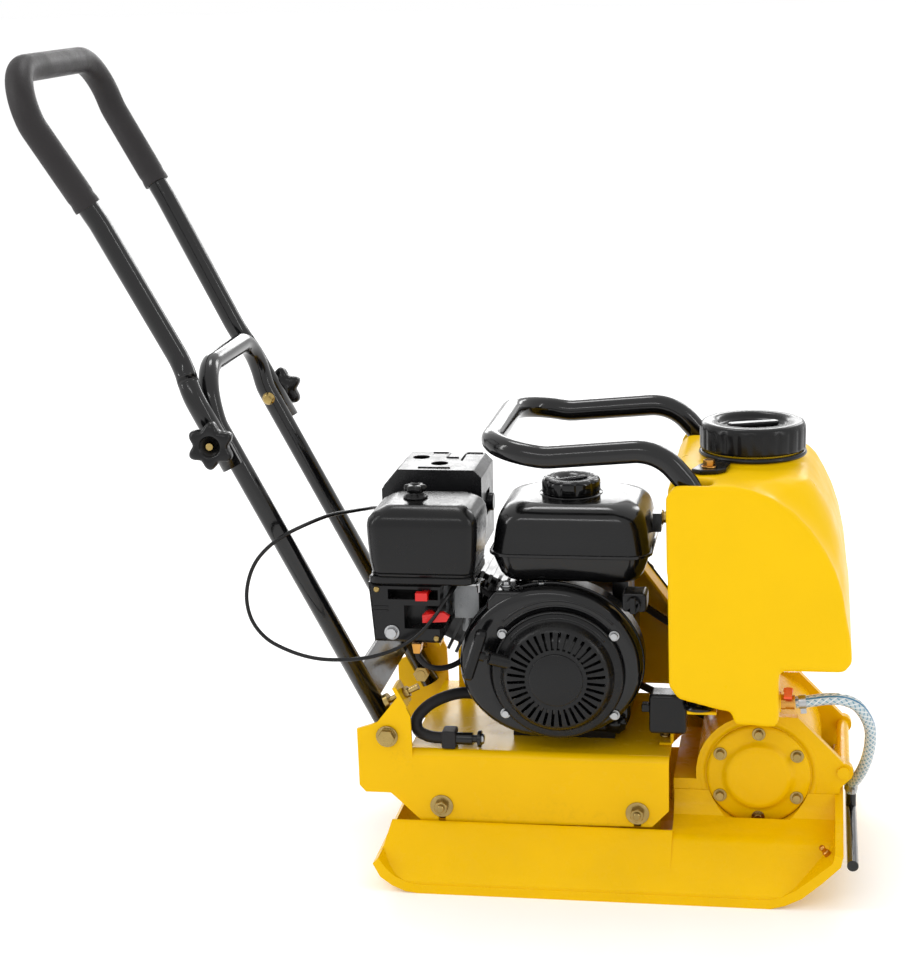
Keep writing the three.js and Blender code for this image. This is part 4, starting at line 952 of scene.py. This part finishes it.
def hoses():
    water = [(229, -130, 236), (246, -130, 238), (266, -129, 241), (285, -126, 240),
             (302, -119, 231), (313, -110, 215), (320, -98, 194), (321, -85, 170),
             (318, -71, 145), (312, -57, 122), (305, -42, 104), (300, -32, 94), (300, -30, 82.6)]
    route = spline(water, 3)
    verts, faces, uvs = sweep(route, 7.4, 32)
    piece("water_hose_fine", verts, faces, "base", HOSE, replaces="water_hose", uvs=uvs)

    def band(name, at, along):
        r, w = 8.6, 9.0
        ring = lathe([(r - 1.1, -w / 2), (r, -w / 2), (r, w / 2), (r - 1.1, w / 2),
                      (r - 1.1, -w / 2)], "z", 0, 0, 40)
        ear = box(-r - 6, -r + 0.5, -2.2, 2.2, -w / 2 + 1, w / 2 - 1)
        q = along.to_track_quat("Z", "X").to_matrix().to_4x4()
        piece(name, *moved(joined(ring, ear), Matrix.Translation(at) @ q), "base", STEEL,
              bevel=0.25)
    band("hose_clip_top", route[3], route[4] - route[2])
    band("hose_clip_bottom", route[-4], route[-3] - route[-5])
    keep("spray_pipe", TUBE, 0.6)
    cable = [(-190, -126, 373.5), (-199, -146, 361), (-212, -159, 342), (-232, -163, 320),
             (-258, -166, 303), (-290, -168, 292), (-325, -168, 287), (-362, -168, 288),
             (-396, -167, 297), (-424, -166, 312), (-441, -165, 334), (-447, -164, 361),
             (-443, -163, 388), (-433, -162, 410), (-416, -161, 429), (-396, -156, 443),
             (-374, -134, 451), (-352, -102, 454.5), (-332, -66, 451), (-321, -30, 445),
             (-317, 20, 434), (-315, 70, 418), (-304, 108, 402), (-276, 127, 391), (-246, 131, 388)]

    def swage(s, total):
        return 3.0 if s < 16 or s > total - 16 else 2.45
    tube("throttle_cable_fine", spline(cable, 4), swage, 20, "base", PLASTIC,
         replaces="throttle_cable")
    oil = [(-143, -72, 204), (-162, -72, 211), (-190, -78, 217), (-218, -91, 213),
           (-237, -102, 203), (-247, -109, 190), (-244, -116, 178.5), (-230, -121, 173),
           (-202, -124, 172)]
    tube("oil_hose_fine", spline(oil, 3), 7.5, 28, "base", RUBBER, replaces="oil_drain_hose")
    clamp = [(-211, 163.6), (-209.5, 162), (-194.5, 162), (-193, 163.6), (-193, 183), (-195, 185),
             (-209, 185), (-211, 183)]
    piece("oil_hose_clamp", *prism(clamp, "y", -136, -113), "base", RUBBER, bevel=1.2)
    turned = lathe([(0, -194), (8, -194), (8, -172.4), (5, -172.4), (5, -166), (10, -166),
                    (11, -165), (11, -162), (10, -161), (0, -161)], "x", *DRAIN, 32)
    piece("oil_drain_plug", *turned, "base", BLACK, bevel=0.4)
    bolt("oil_plug_bolt", "x", *DRAIN, -161.0, 3.0, 12, "base", STEEL)


# ---------- handle ----------
def handle():
    def lower(s):
        return [(0, s * LOWER_Y, -20), (0, s * LOWER_Y, 446), (17, s * LOWER_Y, 514)]
    path = lower(-1) + lower(1)[::-1]
    strap = leaned(box(-5, 1, -LOWER_Y + 11, LOWER_Y - 11, 40, 88))
    tube("lower_handle_tube", leaned_route(fillet(path, 56, 16)), TUBE_R, 32, "handle_low", TUBE,
         replaces="handle_lower")
    piece("lower_handle_strap", *strap, "handle_low", TUBE, bevel=1.5, segments=3)
    for side in ("near", "far"):
        keep(f"carriage_bolt_{side}", ZINC, 0.5)

    def upper(s):
        return [(0, s * UPPER_Y, -38), (0, s * UPPER_Y, 66), (2, s * 130, 98), (2, s * 141, 300),
                (-6, s * 156, 440), (3, s * 158, 508)]
    path = upper(-1) + upper(1)[::-1]
    route = fillet(path, 66, 16)
    tube("upper_handle_tube", leaned_route(route, HINGE_UP), UPPER_R, 32, "handle_up", TUBE,
         replaces="handle_upper")
    ends = [Vector((0.7, s * 143.4, 323)) for s in (-1, 1)]
    grip_route = [ends[0]] + [p for p in route if p.z > 330] + [ends[1]]
    fine = []
    for a, b in zip(grip_route, grip_route[1:]):
        count = max(1, round((b - a).length / 6))
        fine += [a.lerp(b, k / count) for k in range(count)]
    fine.append(grip_route[-1])

    def groove(s, total):
        """The sleeve's radius: a shallow groove runs round it near each end."""
        return 16.2 if 9 <= min(s, total - s) <= 14 else 17.0
    tube("grip_sleeve", leaned_route(fine, HINGE_UP), groove, 36, "handle_up", GRIP,
         replaces="rubber_grip", bevel=0.8, angle=50)

    def lobes(t, r, _):
        return (26 + 4 * math.cos(6 * t)) / 30.0 if r > 20 else 1.0
    for s, side in ((-1, "near"), (1, "far")):
        face = s * (UPPER_Y + TUBE_R + 1)
        profile = [(5.2, face), (11, face), (12, face + s * 1), (13, face + s * 6),
                   (24, face + s * 7.2), (29, face + s * 9.5), (30, face + s * 13),
                   (30, face + s * 20), (28.6, face + s * 24.2), (24, face + s * 26.4),
                   (15, face + s * 26.6), (12.6, face + s * 24.6), (11.4, face + s * 21),
                   (5.2, face + s * 21), (5.2, face)]
        part = leaned(lathe(profile, "y", 0, 0, 72, lobes), HINGE_UP)
        piece(f"star_knob_fine_{side}", *part, f"knob_{side}", PLASTIC,
              replaces=f"star_knob_{side}")


# ---------- floor, lights, camera ----------
def studio():
    world = bpy.data.worlds.new("studio")
    bpy.context.scene.world = world
    world.use_nodes = True
    back = world.node_tree.nodes["Background"]
    back.inputs["Color"].default_value = (1.0, 1.0, 1.0, 1.0)
    back.inputs["Strength"].default_value = 1.0
    mesh = bpy.data.meshes.new("floor")
    low = CAD_BOX[0][2]
    reach = 45
    corners = [(x * reach, y * reach, low) for x, y in ((-1, -1), (1, -1), (1, 1), (-1, 1))]
    mesh.from_pydata(corners, [], [(0, 1, 2, 3)])
    floor = bpy.data.objects.new("floor", mesh)
    bpy.context.scene.collection.objects.link(floor)
    mat, _, shader = new_material("floor")
    shader.inputs["Base Color"].default_value = (0.96, 0.96, 0.96, 1.0)
    shader.inputs["Roughness"].default_value = 0.7
    shader.inputs["Emission Color"].default_value = (1.0, 1.0, 1.0, 1.0)
    shader.inputs["Emission Strength"].default_value = 0.07
    floor.data.materials.append(mat)

    def panel(name, at, aim, size, power):
        data = bpy.data.lights.new(name, "AREA")
        data.shape = "RECTANGLE"
        data.size, data.size_y = size
        data.energy = power
        lamp = bpy.data.objects.new(name, data)
        bpy.context.scene.collection.objects.link(lamp)
        lamp.location = at
        lamp.rotation_euler = (Vector(aim) - Vector(at)).to_track_quat("-Z", "Y").to_euler()
    panel("key_top", (-0.4, 0.9, 2.6), (0, 0, 0.3), (0.6, 0.5), 9)
    panel("strip_left", (-2.0, -0.7, 1.5), (-0.1, 0, 0.4), (0.16, 1.6), 10)
    panel("strip_right", (2.1, -0.9, 1.5), (0.1, 0, 0.3), (0.16, 1.4), 7)
    panel("front_high", (-0.5, -2.5, 2.3), (-0.1, 0, 0.4), (1.3, 0.12), 6)
    panel("rear_soft", (0.9, 2.2, 1.6), (0, 0, 0.4), (0.4, 1.0), 8)
    panel("horizon", (-1.0, 5.2, 1.95), (-0.1, 0, 0.45), (4.0, 1.2), 70)
    scene = bpy.context.scene
    scene.view_settings.view_transform = "Standard"
    scene.view_settings.look = "None"


def camera():
    azimuth, elevation, roll = (math.radians(turn) for turn in (
        CAMERA_AZIMUTH, CAMERA_ELEVATION, CAMERA_ROLL))
    back = Vector((math.sin(azimuth) * math.cos(elevation),
                   -math.cos(azimuth) * math.cos(elevation), math.sin(elevation)))
    right = Vector((math.cos(azimuth), math.sin(azimuth), 0))
    up = right.cross(-back)
    tilted = right * math.cos(roll) + up * math.sin(roll)
    up = up * math.cos(roll) - right * math.sin(roll)
    data = bpy.data.cameras.new("camera")
    data.lens = CAMERA_LENS
    data.sensor_width = 36
    data.clip_end = 60
    obj = bpy.data.objects.new("camera", data)
    bpy.context.scene.collection.objects.link(obj)
    at = Vector(CAMERA_TARGET) + back * CAMERA_DISTANCE
    matrix = Matrix((tilted, up, back)).transposed().to_4x4()
    obj.matrix_world = Matrix.Translation(at) @ matrix
    bpy.context.scene.camera = obj


camera()
hoses()
base_and_exciter()
rubber_mounts()
deck()
engine()
fan_housing()
recoil_cover()
starter()
fuel_tank()
air_cleaner()
muffler()
water_tank()
handle()
studio()
